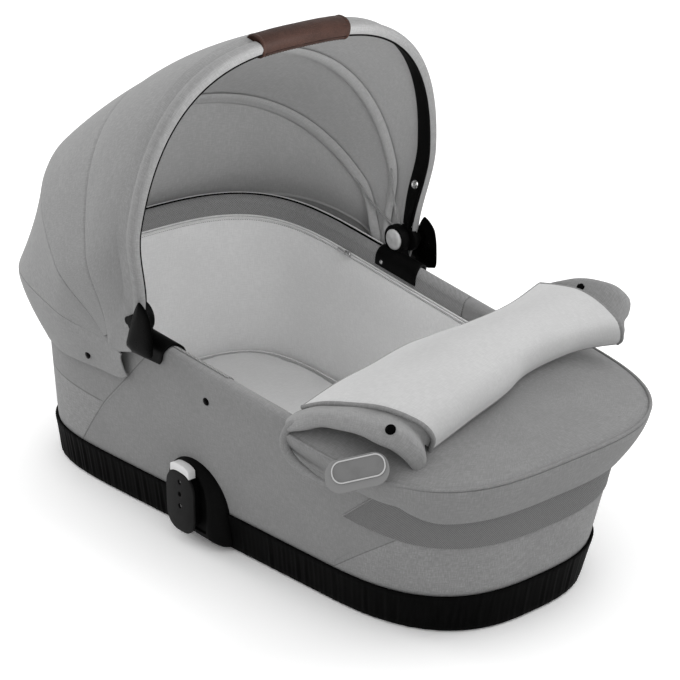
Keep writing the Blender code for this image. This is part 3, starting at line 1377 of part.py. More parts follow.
def make_plate(label, side):
    """Upright plate that locks into the pushchair, on a narrower neck."""
    face = PLATE_FACE
    plate_back = face - PLATE_THICKNESS
    neck_back = HOUSING_FACE + SEAT_GAP
    outer = [(ADAPTER_X + x, z) for x, z in plate_loop(PLATE_WIDTH, PLATE_FOOT, PLATE_TOP)]
    rings = [[(x, side * y, z) for x, z in outer] for y in (plate_back, face)]
    plate = loft(f"adapter_plate_{label}", rings, "black_plastic")
    inner = [(ADAPTER_X + x, z) for x, z in plate_loop(NECK_WIDTH, PLATE_FOOT + NECK_INSET, PLATE_TOP - NECK_INSET)]
    rings = [[(x, side * y, z) for x, z in inner] for y in (neck_back, plate_back + PLATE_THICKNESS / 2)]
    neck = loft("neck_guide", rings, "black_plastic")
    cut(plate, neck, "UNION")
    for k in (0, 1, 2):
        z = PLATE_TOP - PLATE_HOLE_TOP - k * PLATE_HOLE_PITCH
        hole = disc("hole_guide", ADAPTER_X, z, side, (plate_back, face + CUT_OVERRUN), PLATE_HOLE_RADIUS,
                    "black_plastic", count=16)
        cut(plate, hole)
    top = PLATE_TOP - NECK_INSET + CUT_OVERRUN
    pocket_y = (neck_back - CUT_OVERRUN, neck_back + STEM_THICKNESS + 2 * TAB_CLEARANCE)
    half = STEM_WIDTH / 2 + TAB_CLEARANCE
    corners = [(-half, top), (half, top), (half, top - STEM_POCKET), (-half, top - STEM_POCKET)]
    rings = [[(ADAPTER_X + x, side * y, z) for x, z in corners] for y in pocket_y]
    cut(plate, loft("pocket_guide", rings, "black_plastic"))


def make_tab(label, side):
    """Pale release tab over the plate's top, its stem in the neck, and the spring below it."""
    back = HOUSING_FACE + SEAT_GAP + TAB_CLEARANCE
    front = PLATE_FACE - TAB_CLEARANCE
    neck_top = PLATE_TOP - NECK_INSET
    half = PLATE_WIDTH / 2
    power = 2 / PLATE_SQUARENESS_SHARE
    reach = math.acos((TAB_WIDTH / PLATE_WIDTH) ** (1 / power))
    lower = []
    for a in np.linspace(reach, math.pi - reach, 9):
        c, s = math.cos(a), math.sin(a)
        lower.append((half * math.copysign(abs(c) ** power, c), PLATE_TOP - half + half * abs(s) ** power))
    loop = [(x, z + TAB_CLEARANCE) for x, z in lower]
    loop += [(x * 0.97, z + TAB_CLEARANCE + TAB_HEIGHT) for x, z in lower[::-1]]
    rings = [[(ADAPTER_X + x, side * y, z) for x, z in loop] for y in (back, front)]
    tab = loft(f"release_tab_{label}", rings, "pale_plastic", origin=(ADAPTER_X, side * back, neck_top))
    half = STEM_WIDTH / 2
    low = neck_top - STEM_LENGTH
    high = PLATE_TOP + TAB_HEIGHT / 2
    corners = [(-half, low), (half, low), (half, high), (-half, high)]
    stem = [[(ADAPTER_X + x, side * y, z) for x, z in corners] for y in (back, back + STEM_THICKNESS)]
    cut(tab, loft("stem_guide", stem, "pale_plastic"), "UNION")
    floor = neck_top + CUT_OVERRUN - STEM_POCKET
    y = back + STEM_THICKNESS / 2
    low_z, high_z = floor + SPRING_WIRE + SEAT_GAP, low - SPRING_WIRE - SEAT_GAP
    path = []
    for k in range(4 * 8 + 1):
        turn = k * 2 * math.pi / 8
        z = low_z + (high_z - low_z) * k / (4 * 8)
        path.append((ADAPTER_X + TAB_SPRING_RADIUS * math.cos(turn),
                     side * (y + (STEM_THICKNESS / 2 - SPRING_WIRE) * math.sin(turn)), z))
    rod(f"tab_spring_{label}", path, SPRING_WIRE, "steel", detail=0)


def main():
    """Build every sub-part."""
    clear_scene()
    make_tray()
    make_band()
    make_shell()
    make_rim_tube()
    make_facings()
    make_liner()
    make_zip_slider()
    make_hood_zip()
    make_stays()
    make_mattress()
    make_hinges()
    make_bow_feet()
    make_hinge_covers()
    make_front_bow()
    make_grip()
    make_thin_bows()
    make_studs()
    make_front_panel()
    make_rear_panels()
    make_skirt()
    make_side_snaps()
    make_apron()
    make_flap()
    make_window()
    make_tag()
    make_adapters()


main()
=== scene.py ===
"""Dressed scene of a carrycot: folding hood, apron with a folded wind flap, adapters.

Metres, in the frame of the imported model: +X to the foot end, +Y to the left, Z up.
"""

import functools
import logging
import math
from dataclasses import dataclass
from enum import Enum
from typing import Any, Callable, Optional, Sequence

import bmesh
import bpy
import numpy as np
from mathutils import Matrix, Vector


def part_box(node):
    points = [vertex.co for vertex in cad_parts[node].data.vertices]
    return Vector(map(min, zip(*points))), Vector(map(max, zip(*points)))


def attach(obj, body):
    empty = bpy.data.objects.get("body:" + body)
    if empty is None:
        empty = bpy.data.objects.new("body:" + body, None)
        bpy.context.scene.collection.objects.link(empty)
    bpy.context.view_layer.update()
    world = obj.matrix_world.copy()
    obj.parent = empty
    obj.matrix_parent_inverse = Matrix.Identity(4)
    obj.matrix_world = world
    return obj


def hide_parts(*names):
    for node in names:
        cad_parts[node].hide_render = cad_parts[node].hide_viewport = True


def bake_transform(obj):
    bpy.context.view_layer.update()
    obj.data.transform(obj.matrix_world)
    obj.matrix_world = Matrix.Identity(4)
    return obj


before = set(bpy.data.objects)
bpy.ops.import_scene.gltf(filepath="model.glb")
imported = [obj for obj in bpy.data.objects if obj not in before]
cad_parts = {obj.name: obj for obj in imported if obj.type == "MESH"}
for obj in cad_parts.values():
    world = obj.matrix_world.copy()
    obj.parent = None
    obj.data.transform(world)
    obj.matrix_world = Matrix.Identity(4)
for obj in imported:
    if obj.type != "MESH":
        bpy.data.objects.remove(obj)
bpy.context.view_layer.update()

log = logging.getLogger("carrycot")
MM = 0.001
SIDES = {"left": 1.0, "right": -1.0}


# ---------------------------------------------------------------- finishes


def srgb(code: str) -> tuple[float, float, float, float]:
    """Linear colour of an sRGB hex value.

    Args:
        code: Six hex digits, with or without the leading sign.

    Returns:
        Red, green, blue and alpha for a Cycles socket.
    """
    digits = code.lstrip("#")
    parts = [int(digits[k:k + 2], 16) / 255 for k in (0, 2, 4)]
    linear = [p / 12.92 if p <= 0.04045 else ((p + 0.055) / 1.055) ** 2.4 for p in parts]
    return (*linear, 1.0)


def fill(tree: bpy.types.NodeTree, item: bpy.types.Node, links: dict) -> None:
    """Fill a node's inputs.

    Args:
        tree: Tree of the node.
        item: The node.
        links: Input name or index, and what feeds it: a plain value, a socket, a node for its
            first output, or a sum written as (operation, first, second).
    """
    for key, value in links.items():
        if isinstance(value, tuple) and isinstance(value[0], str):
            value = node(tree, "ShaderNodeMath", dict(enumerate(value[1:])), operation=value[0])
        if isinstance(value, bpy.types.Node):
            value = next(socket for socket in value.outputs if socket.enabled)
        if isinstance(value, bpy.types.NodeSocket):
            tree.links.new(value, item.inputs[key])
        else:
            item.inputs[key].default_value = value


def node(tree: bpy.types.NodeTree, kind: str, links: Optional[dict] = None, **settings: Any) -> bpy.types.Node:
    """Add a node with its settings, and fill its inputs.

    Args:
        tree: Tree the node is added to.
        kind: Blender's identifier of the node.
        links: What feeds its inputs, as fill reads it.
        settings: Properties of the node itself.

    Returns:
        The new node.
    """
    item = tree.nodes.new(kind)
    for name, value in settings.items():
        setattr(item, name, value)
    fill(tree, item, links or {})
    return item


class Follow(Enum):
    """What a pattern is laid out on."""

    SURFACE = "UV"
    BLOCK = "Object"


def new_material(name: str, **sockets: Any) -> tuple[bpy.types.Material, bpy.types.NodeTree, bpy.types.Node]:
    """Make a Principled material with plain numbers on its own sockets.

    Args:
        name: Name of the material.
        sockets: Socket names, with underscores for spaces, and their values.

    Returns:
        The material, its tree and its shader.
    """
    material = bpy.data.materials.new(name)
    material.use_nodes = True
    tree = material.node_tree
    shader = tree.nodes["Principled BSDF"]
    fill(tree, shader, {key.replace("_", " "): value for key, value in sockets.items()})
    return material, tree, shader


def millimetres(tree: bpy.types.NodeTree, follow: Follow, stretch: Sequence[float] = (1, 1, 1)) -> bpy.types.Node:
    """Coordinates in millimetres, over the surface or through the block.

    Args:
        tree: Tree the nodes are added to.
        follow: Surface map or object coordinates.
        stretch: Extra scale of each axis.

    Returns:
        The node that gives them.
    """
    place = node(tree, "ShaderNodeTexCoord").outputs[follow.value]
    return node(tree, "ShaderNodeMapping", {"Vector": place, "Scale": tuple(s / MM for s in stretch)})


@dataclass(frozen=True)
class WovenCloth:
    """Plain-weave polyester of melange yarn: flecked at arm's length, even from afar."""

    name: str
    light: str
    dark: str
    thread_mm: float = 1.0
    fleck: float = 0.45
    roughness: float = 0.92
    sheen: float = 0.12
    relief: float = 0.35
    follow: Follow = Follow.SURFACE
    seams: tuple[str, ...] = ()
    pale: str = ""
    pale_colour: str = ""

    def material(self) -> bpy.types.Material:
        """Build the material with its yarn flecks, weave bump and seam lines.

        Returns:
            The material.
        """
        material, tree, shader = new_material(
            self.name, Roughness=self.roughness, Sheen_Weight=self.sheen, Sheen_Roughness=0.6, Specular_IOR_Level=0.25)
        slubs = [node(tree, "ShaderNodeTexNoise", {
            "Vector": millimetres(tree, self.follow, stretch), "Scale": 1.0, "Detail": 2.0})
            for stretch in ((0.10, 0.85, 0.85), (0.85, 0.10, 0.10))]
        yarn = node(tree, "ShaderNodeMath", {0: ("ADD", *slubs), 1: 0.5}, operation="MULTIPLY")
        where = millimetres(tree, self.follow)
        cloud = node(tree, "ShaderNodeTexNoise", {"Vector": where, "Scale": 0.018, "Detail": 2.0})
        amount = node(tree, "ShaderNodeMapRange", {
            "Value": ("ADD", ("MULTIPLY", yarn, self.fleck * 1.6), ("MULTIPLY", cloud, 0.12)),
            "From Min": 0.22 + self.fleck * 0.2, "From Max": 0.02 + self.fleck})
        base: Any = srgb(self.light)
        if self.pale:
            edge = node(tree, "ShaderNodeAttribute", attribute_name=self.pale).outputs["Fac"]
            side = node(tree, "ShaderNodeMapRange", {"Value": edge, "From Min": -1.0, "From Max": 1.0})
            base = node(tree, "ShaderNodeMix", {
                "Factor": side, "A": srgb(self.light), "B": srgb(self.pale_colour)}, data_type="RGBA")
        colour = node(tree, "ShaderNodeMix", {
            "Factor": ("MULTIPLY", amount, 0.8), "A": base, "B": srgb(self.dark)}, data_type="RGBA")
        axes = node(tree, "ShaderNodeSeparateXYZ", {0: where}).outputs
        on_surface = self.follow is Follow.SURFACE
        ways = (axes["X"], axes["Y"]) if on_surface else (("ADD", axes["X"], axes["Y"]), axes["Z"])
        weave = ("MULTIPLY", *(("SINE", ("MULTIPLY", way, math.pi / self.thread_mm)) for way in ways))
        height: Any = ("ADD", ("MULTIPLY", weave, 0.10), ("MULTIPLY", yarn, 0.12))
        for seam in self.seams:
            signed = node(tree, "ShaderNodeAttribute", attribute_name=seam).outputs["Fac"]
            away = node(tree, "ShaderNodeMath", {0: signed}, operation="ABSOLUTE")
            valley, line = (node(tree, "ShaderNodeMapRange", {
                "Value": away, "From Min": near, "From Max": far, "To Min": low, "To Max": high},
                interpolation_type="SMOOTHSTEP")
                for near, far, low, high in ((0.0, 3.0, -1.0, 0.0), (0.5, 1.6, 0.62, 1.0)))
            height = ("ADD", height, valley)
            colour = node(tree, "ShaderNodeMix", {
                "Factor": 1.0, "A": colour, "B": line}, data_type="RGBA", blend_type="MULTIPLY")
        fill(tree, shader, {"Base Color": colour, "Normal": node(tree, "ShaderNodeBump", {
            "Height": height, "Distance": 0.9 * MM, "Strength": self.relief})})
        return material


@dataclass(frozen=True)
class KnittedMesh:
    """Warp-knitted spacer mesh: rows of small holes on the diagonal, their dark colour painted shade."""

    name: str
    thread: str
    hole: str
    pitch_mm: float = 2.6
    roughness: float = 0.85

    def material(self) -> bpy.types.Material:
        """Build the material with its diagonal holes, painted dark as shade.

        Returns:
            The material.
        """
        material, tree, shader = new_material(self.name, Roughness=self.roughness, Specular_IOR_Level=0.3)
        where = millimetres(tree, Follow.SURFACE)
        axes = node(tree, "ShaderNodeSeparateXYZ", {0: where}).outputs
        cells = ("MULTIPLY", *(
            ("ABSOLUTE", ("SINE", ("MULTIPLY", (slant, axes["X"], axes["Y"]), math.pi / self.pitch_mm)))
            for slant in ("ADD", "SUBTRACT")))
        noise = node(tree, "ShaderNodeTexNoise", {"Vector": where, "Scale": 0.22, "Detail": 3.0})
        # The holes are not cut: their dark colour is painted shade seen through the mesh.
        hole = node(tree, "ShaderNodeMapRange", {
            "Value": ("ADD", cells, ("MULTIPLY", noise, 0.35)), "From Min": 0.42, "From Max": 0.80},
            interpolation_type="SMOOTHSTEP")
        fill(tree, shader, {
            "Base Color": node(tree, "ShaderNodeMix", {
                "Factor": hole, "A": srgb(self.thread), "B": srgb(self.hole)}, data_type="RGBA"),
            "Normal": node(tree, "ShaderNodeBump", {
                "Height": ("SUBTRACT", 1.0, hole), "Distance": 0.5 * MM, "Strength": 0.5})})
        return material


@dataclass(frozen=True)
class GatheredNylon:
    """Black nylon taffeta, calendered: faint upright streaks of painted highlight in its colour."""

    name: str
    colour: str
    highlight: str

    def material(self) -> bpy.types.Material:
        """Build the material with its fine threads and faint streaks of painted highlight.

        Returns:
            The material.
        """
        material, tree, shader = new_material(self.name, Roughness=0.60, Specular_IOR_Level=0.02)
        streak, fine = (node(tree, "ShaderNodeTexNoise", {
            "Vector": millimetres(tree, Follow.SURFACE, stretch), "Scale": 1.0, "Detail": detail})
            for stretch, detail in (((0.22, 0.02, 1.0), 3.0), ((1.2, 0.5, 1.0), 2.0)))
        # The streaks lift the black toward the highlight colour: painted highlight, not tied to the folds.
        amount = node(tree, "ShaderNodeMapRange", {"Value": streak, "From Min": 0.4, "From Max": 0.75})
        fill(tree, shader, {
            "Base Color": node(tree, "ShaderNodeMix", {
                "Factor": amount, "A": srgb(self.colour), "B": srgb(self.highlight)}, data_type="RGBA"),
            "Normal": node(tree, "ShaderNodeBump", {"Height": fine, "Distance": 0.3 * MM, "Strength": 0.3})})
        return material


@dataclass(frozen=True)
class GrainedLeather:
    """Pigmented cow leather, plated grain: small pebbles, with painted shade in the creases between them."""

    name: str
    colour: str
    crease: str
    grain_mm: float = 1.6

    def material(self) -> bpy.types.Material:
        """Build the material with its pebbled grain.

        Returns:
            The material.
        """
        material, tree, shader = new_material(self.name, Roughness=0.46, Specular_IOR_Level=0.18)
        where = millimetres(tree, Follow.BLOCK)
        pebble = node(tree, "ShaderNodeTexVoronoi", {"Vector": where, "Scale": 1 / self.grain_mm},
                      feature="DISTANCE_TO_EDGE").outputs["Distance"]
        cloud = node(tree, "ShaderNodeTexNoise", {"Vector": where, "Scale": 0.05, "Detail": 4.0})
        # Darker colour in the creases is painted shade in the grain's recesses; the cloud adds random tone.
        amount = node(tree, "ShaderNodeMapRange", {
            "Value": ("ADD", pebble, ("MULTIPLY", cloud, 0.4)), "From Min": 0.15, "From Max": 0.5})
        fill(tree, shader, {
            "Base Color": node(tree, "ShaderNodeMix", {
                "Factor": amount, "A": srgb(self.crease), "B": srgb(self.colour)}, data_type="RGBA"),
            "Roughness": node(tree, "ShaderNodeMapRange", {"Value": amount, "To Min": 0.62, "To Max": 0.42}),
            "Normal": node(tree, "ShaderNodeBump", {"Height": pebble, "Distance": 0.35 * MM, "Strength": 0.6})})
        return material


@dataclass(frozen=True)
class MouldedPlastic:
    """Injection-moulded nylon or ABS: spark-eroded grain, or polished where grain is 0."""

    name: str
    colour: str
    roughness: float
    grain: float
    scuffed: str
    gloss: float = 0.5

    def material(self) -> bpy.types.Material:
        """Build the material with its mould grain and slight scuffs.

        Returns:
            The material.
        """
        material, tree, shader = new_material(
            self.name, Roughness=self.roughness, Specular_IOR_Level=self.gloss)
        where = millimetres(tree, Follow.BLOCK)
        cloud = node(tree, "ShaderNodeTexNoise", {"Vector": where, "Scale": 0.06, "Detail": 5.0})
        scuff = node(tree, "ShaderNodeMapRange", {"Value": cloud, "From Min": 0.45, "From Max": 0.75})
        grain = node(tree, "ShaderNodeTexNoise", {"Vector": where, "Scale": 1.6, "Detail": 2.0})
        fill(tree, shader, {
            "Base Color": node(tree, "ShaderNodeMix", {
                "Factor": scuff, "A": srgb(self.colour), "B": srgb(self.scuffed)}, data_type="RGBA"),
            "Roughness": node(tree, "ShaderNodeMapRange", {
                "Value": cloud, "To Min": self.roughness - 0.06, "To Max": self.roughness + 0.08}),
            "Normal": node(tree, "ShaderNodeBump", {
                "Height": grain, "Distance": 0.15 * MM, "Strength": self.grain})})
        return material


@dataclass(frozen=True)
class PlatedMetal:
    """Nickel-plated or brushed steel: sharp small highlights with fine lines."""

    name: str
    colour: str
    roughness: float

    def material(self) -> bpy.types.Material:
        """Build the material with its drawn lines.

        Returns:
            The material.
        """
        material, tree, shader = new_material(
            self.name, Roughness=self.roughness, Metallic=1.0, Base_Color=srgb(self.colour))
        lines = node(tree, "ShaderNodeTexNoise", {
            "Vector": millimetres(tree, Follow.BLOCK, (0.3, 3.0, 3.0)), "Scale": 1.0, "Detail": 2.0})
        fill(tree, shader, {"Roughness": node(tree, "ShaderNodeMapRange", {
            "Value": lines, "To Min": self.roughness - 0.08, "To Max": self.roughness + 0.12})})
        return material


class Finishes:
    """Every material of the carrycot, made once and handed out by name."""

    KINDS = {
        "canopy": WovenCloth("canopy_melange_weave", "#999999", "#858585"),
        "tub": WovenCloth("tub_melange_weave", "#8d8d8d", "#7b7b7b", seams=("head_seam", "foot_seam", "belt_seam"),
                          pale="pale_panel", pale_colour="#999999"),
        "apron": WovenCloth("apron_melange_weave", "#8f8f8f", "#7b7b7b"),
        # The canopy cloth again, painted paler on the hood's inner face as painted light inside the hood.
        "inside": WovenCloth("canopy_inside_painted_light_weave", "#b9b9b9", "#a6a6a6"),
        "tag": MouldedPlastic("tag_moulded_rubber", "#777777", 0.55, 0.2, "#6d6d6d", 0.3),
        "tag_line": MouldedPlastic("tag_pale_rubber", "#c4c4c4", 0.5, 0.2, "#bcbcbc", 0.3),
        "binding": WovenCloth("canopy_binding_weave", "#8c8c8c", "#787878", follow=Follow.BLOCK),
        "tunnel": WovenCloth("bow_tunnel_weave", "#b4b4b4", "#a2a2a2"),
        "sleeve": WovenCloth("bow_sleeve_weave", "#9a9a9a", "#868686", follow=Follow.BLOCK),
        "liner": WovenCloth("liner_brushed_cotton", "#ececec", "#e2e2e2", fleck=0.35, sheen=0.2, relief=0.2),
        "lining": WovenCloth("flap_brushed_cotton", "#c8c8c8", "#bebebe", fleck=0.35, sheen=0.2, relief=0.2),
        "liner_cord": WovenCloth("liner_zip_tape", "#e8e8e8", "#d8d8d8", follow=Follow.BLOCK, relief=0.2),
        "mattress": WovenCloth("mattress_jersey", "#e0e0e0", "#d6d6d6", follow=Follow.BLOCK, relief=0.25),
        # The second colour of each mesh is painted shade in its holes.
        "mesh": KnittedMesh("vent_spacer_mesh", "#a2a2a2", "#585858"),
        "window": KnittedMesh("window_spacer_mesh", "#828282", "#5a5a5a"),
        "band": GatheredNylon("base_nylon_taffeta", "#050505", "#0b0b0b"),
        "leather": GrainedLeather("grip_pigmented_leather", "#3f2820", "#291a15"),
        "plastic": MouldedPlastic("black_moulded_nylon", "#070707", 0.50, 0.35, "#0b0b0b", 0.04),
        "plate": MouldedPlastic("adapter_moulded_nylon", "#181818", 0.52, 0.35, "#1e1e1e", 0.07),
        "gloss": MouldedPlastic("black_polished_abs", "#020202", 0.25, 0.0, "#040404", 0.02),
        "grey": MouldedPlastic("grey_moulded_abs", "#c4c4c4", 0.42, 0.15, "#9c9c9c"),
        "pale": MouldedPlastic("pale_moulded_pom", "#dcdcdc", 0.35, 0.1, "#d2d2d2"),
        "thread": WovenCloth("sewing_thread", "#858585", "#707070", follow=Follow.BLOCK, relief=0.1),
        "leather_thread": WovenCloth("leather_thread", "#3a2a24", "#2c1f1b", follow=Follow.BLOCK, relief=0.1),
        "steel": PlatedMetal("brushed_steel", "#b4b4b4", 0.34),
        "nickel": PlatedMetal("nickel_plate", "#c8c8c8", 0.22),
    }

    def __init__(self) -> None:
        """Start with nothing made."""
        self.made: dict[str, bpy.types.Material] = {}

    def get(self, name: str) -> bpy.types.Material:
        """The material of that name, built at its first use.

        Args:
            name: Key of the finish.

        Returns:
            The material.
        """
        if name not in self.made:
            self.made[name] = self.KINDS[name].material()
        return self.made[name]


FINISH = Finishes()


# ---------------------------------------------------------------- shapes


def ease(value: Any) -> Any:
    """Ease from 0 to 1."""
    value = np.clip(value, 0.0, 1.0)
    return value * value * (3 - 2 * value)


def run_length(points: np.ndarray) -> np.ndarray:
    """Distance along a path at each of its points."""
    return np.concatenate([[0.0], np.cumsum(np.linalg.norm(np.diff(points, axis=0), axis=1))])


def even_turns(count: int) -> np.ndarray:
    """Angles spread evenly round a full circle."""
    return np.arange(count) * 2 * math.pi / count


def squared(turn: float, wide: float, tall: float) -> tuple[float, float]:
    """Place on a squared-off unit circle; the powers below 1 square its two ways."""
    c, s = math.cos(turn), math.sin(turn)
    return math.copysign(abs(c) ** wide, c), math.copysign(abs(s) ** tall, s)


def link(name: str, mesh: bpy.types.Mesh) -> bpy.types.Object:
    """Put a mesh into the scene as an object of that name.

    Args:
        name: Name of the object.
        mesh: Its mesh.

    Returns:
        The new object.
    """
    item = bpy.data.objects.new(name, mesh)
    bpy.context.scene.collection.objects.link(item)
    return item


def baked(item: bpy.types.Object) -> bpy.types.Object:
    """Turn an object's modifiers into its mesh.

    Args:
        item: Object with live modifiers.

    Returns:
        The same object, plain.
    """
    bpy.context.view_layer.update()
    graph = bpy.context.evaluated_depsgraph_get()
    mesh = bpy.data.meshes.new_from_object(item.evaluated_get(graph), preserve_all_data_layers=True, depsgraph=graph)
    item.modifiers.clear()
    item.data = mesh
    return item


def shaded(item: bpy.types.Object, sharp: float) -> bpy.types.Object:
    """Shade a piece smoothly, but for edges sharper than an angle in degrees.

    Args:
        item: The piece.
        sharp: Angle above which an edge stays crisp.

    Returns:
        The same piece.
    """
    item.data.shade_smooth()
    item.data.set_sharp_from_angle(angle=math.radians(sharp))
    return item


def tidy_normals(item: bpy.types.Object, sharp: float = 50.0, weld: float = 1e-6) -> bpy.types.Object:
    """Merge doubles, point every face outwards and shade smoothly by angle.

    Args:
        item: The piece.
        sharp: Angle above which an edge stays crisp.
        weld: Distance within which corners are merged.

    Returns:
        The same piece.
    """
    form = bmesh.new()
    form.from_mesh(item.data)
    bmesh.ops.remove_doubles(form, verts=form.verts, dist=weld)
    bmesh.ops.recalc_face_normals(form, faces=form.faces)
    form.to_mesh(item.data)
    form.free()
    return shaded(item, sharp)


def surface(name: str, grid: np.ndarray, finish: str, wall: float, closed: bool = False,
            skip: Optional[Callable[[int, int], bool]] = None, offset: float = 0.0,
            marks: Optional[dict[str, np.ndarray]] = None, weld: float = 1e-6, inside: str = "") -> bpy.types.Object:
    """Make a sheet from a grid of points, with a map in metres and a wall.

    Args:
        name: Name of the piece.
        grid: Rows by columns by three; columns run anticlockwise seen from outside.
        finish: Name of its finish.
        wall: Thickness of the cloth.
        closed: Whether the columns close into a loop.
        skip: Says whether the face at a row and column is left out.
        offset: Where the wall lies: 0 about the grid, -1 inside it.
        marks: Values per grid point kept as attributes.
        weld: Distance within which corners are merged.
        inside: Name of the finish of the other face, if it differs.

    Returns:
        The finished object.
    """
    grid = np.asarray(grid, float)
    rows, columns = grid.shape[:2]
    last = columns if closed else columns - 1
    wrapped = np.concatenate([grid, grid[:, :1]], axis=1) if closed else grid
    u = np.concatenate([[0], np.cumsum(np.linalg.norm(np.diff(wrapped, axis=1), axis=2).mean(axis=0))])
    v = np.concatenate([[0], np.cumsum(np.linalg.norm(np.diff(wrapped, axis=0), axis=2).mean(axis=1))])
    faces, maps = [], []
    for i in range(rows - 1):
        for j in range(last):
            if skip and skip(i, j):
                continue
            k = (j + 1) % columns
            faces.append((i * columns + j, i * columns + k, (i + 1) * columns + k, (i + 1) * columns + j))
            maps += [(u[j], v[i]), (u[j + 1], v[i]), (u[j + 1], v[i + 1]), (u[j], v[i + 1])]
    mesh = bpy.data.meshes.new(name)
    mesh.from_pydata(grid.reshape(-1, 3).tolist(), [], faces)
    layer = mesh.uv_layers.new(name="UVMap")
    layer.data.foreach_set("uv", np.array(maps, np.float32).ravel())
    for key, values in (marks or {}).items():
        attribute = mesh.attributes.new(key, "FLOAT", "POINT")
        attribute.data.foreach_set("value", np.asarray(values, np.float32).ravel())
    mesh.materials.append(FINISH.get(finish))
    if inside:
        mesh.materials.append(FINISH.get(inside))
    item = link(name, mesh)
    form = bmesh.new()
    form.from_mesh(mesh)
    bmesh.ops.remove_doubles(form, verts=form.verts, dist=weld)
    bmesh.ops.delete(form, geom=[p for p in form.verts if not p.link_faces], context="VERTS")
    form.to_mesh(mesh)
    form.free()
    if wall:
        solid = item.modifiers.new("wall", "SOLIDIFY")
        solid.thickness, solid.offset = wall, offset
        solid.material_offset = 1 if inside else 0
        baked(item)
    return tidy_normals(item, weld=1e-7)


def loft(name: str, rings: Sequence, finish: str, capped: bool = True, sharp: float = 40.0) -> bpy.types.Object:
    """Join closed loops of points in order into one solid, capped or joined end to end.

    Args:
        name: Name of the piece.
        rings: Loops of equally many points, in order.
        finish: Name of its finish.
        capped: Whether the ends are closed; otherwise the last loop meets the first.
        sharp: Angle above which an edge stays crisp.

    Returns:
        The finished object.
    """
    rings = np.asarray(rings, float)
    count, size = rings.shape[:2]
    faces = []
    for i in range(count - 1 if capped else count):
        for j in range(size):
            a, b = i * size, (i + 1) % count * size
            faces.append((a + j, a + (j + 1) % size, b + (j + 1) % size, b + j))
    if capped:
        faces.append(tuple(range(size))[::-1])
        faces.append(tuple((count - 1) * size + j for j in range(size)))
    mesh = bpy.data.meshes.new(name)
    mesh.from_pydata(rings.reshape(-1, 3).tolist(), [], faces)
    mesh.materials.append(FINISH.get(finish))
    return tidy_normals(link(name, mesh), sharp)


def joined(name: str, items: Sequence[bpy.types.Object], sharp: float) -> bpy.types.Object:
    """Join plain mesh objects into one of that name.

    Args:
        name: Name of the result.
        items: Objects to join; the first keeps its attributes.
        sharp: Angle above which an edge stays crisp.

    Returns:
        The joined object.
    """
    form = bmesh.new()
    materials: list[bpy.types.Material] = []
    for item in items:
        start = len(form.faces)
        form.from_mesh(item.data)
        form.faces.ensure_lookup_table()
        for material in item.data.materials:
            if material not in materials:
                materials.append(material)
        for face in form.faces[start:]:
            used = item.data.materials[min(face.material_index, len(item.data.materials) - 1)]
            face.material_index = materials.index(used)
    mesh = bpy.data.meshes.new(name)
    form.to_mesh(mesh)
    form.free()
    for material in materials:
        mesh.materials.append(material)
    for item in items:
        bpy.data.objects.remove(item, do_unlink=True)
    return shaded(link(name, mesh), sharp)


def lathe(name: str, profile: Sequence[tuple[float, float]], place: Sequence[float], out: Sequence[float],
          finish: str, count: int = 32, sharp: float = 40.0) -> bpy.types.Object:
    """Turn a profile of (radius, lift) pairs about an axis.

    Args:
        name: Name of the piece.
        profile: Radii and lifts along the axis, first to last.
        place: Point on the axis at lift 0.
        out: Direction of the axis.
        finish: Name of its finish.
        count: Points round the axis.
        sharp: Angle above which an edge stays crisp.

    Returns:
        The turned solid.
    """
    axis = Vector(out).normalized()
    first = axis.cross(Vector((0, 0, 1)))
    if first.length < 1e-3:
        first = axis.cross(Vector((1, 0, 0)))
    first.normalize()
    second = axis.cross(first)
    rings = [
        [tuple(Vector(place) + axis * lift + first * (radius * math.cos(t)) + second * (radius * math.sin(t)))
         for t in even_turns(count)]
        for radius, lift in profile
    ]
    return loft(name, rings, finish, sharp=sharp)


def geometry_tree(name: str, sizes: dict[str, str]) -> tuple[bpy.types.NodeTree, bpy.types.Node]:
    """Start a Geometry Nodes tree with named inputs.

    Args:
        name: Name of the tree.
        sizes: Names of its inputs and their socket types.

    Returns:
        The tree and its input node.
    """
    tree = bpy.data.node_groups.new(name, "GeometryNodeTree")
    tree.interface.new_socket("Geometry", in_out="INPUT", socket_type="NodeSocketGeometry")
    for label, kind in sizes.items():
        tree.interface.new_socket(label, in_out="INPUT", socket_type=kind)
    tree.interface.new_socket("Geometry", in_out="OUTPUT", socket_type="NodeSocketGeometry")
    return tree, node(tree, "NodeGroupInput")


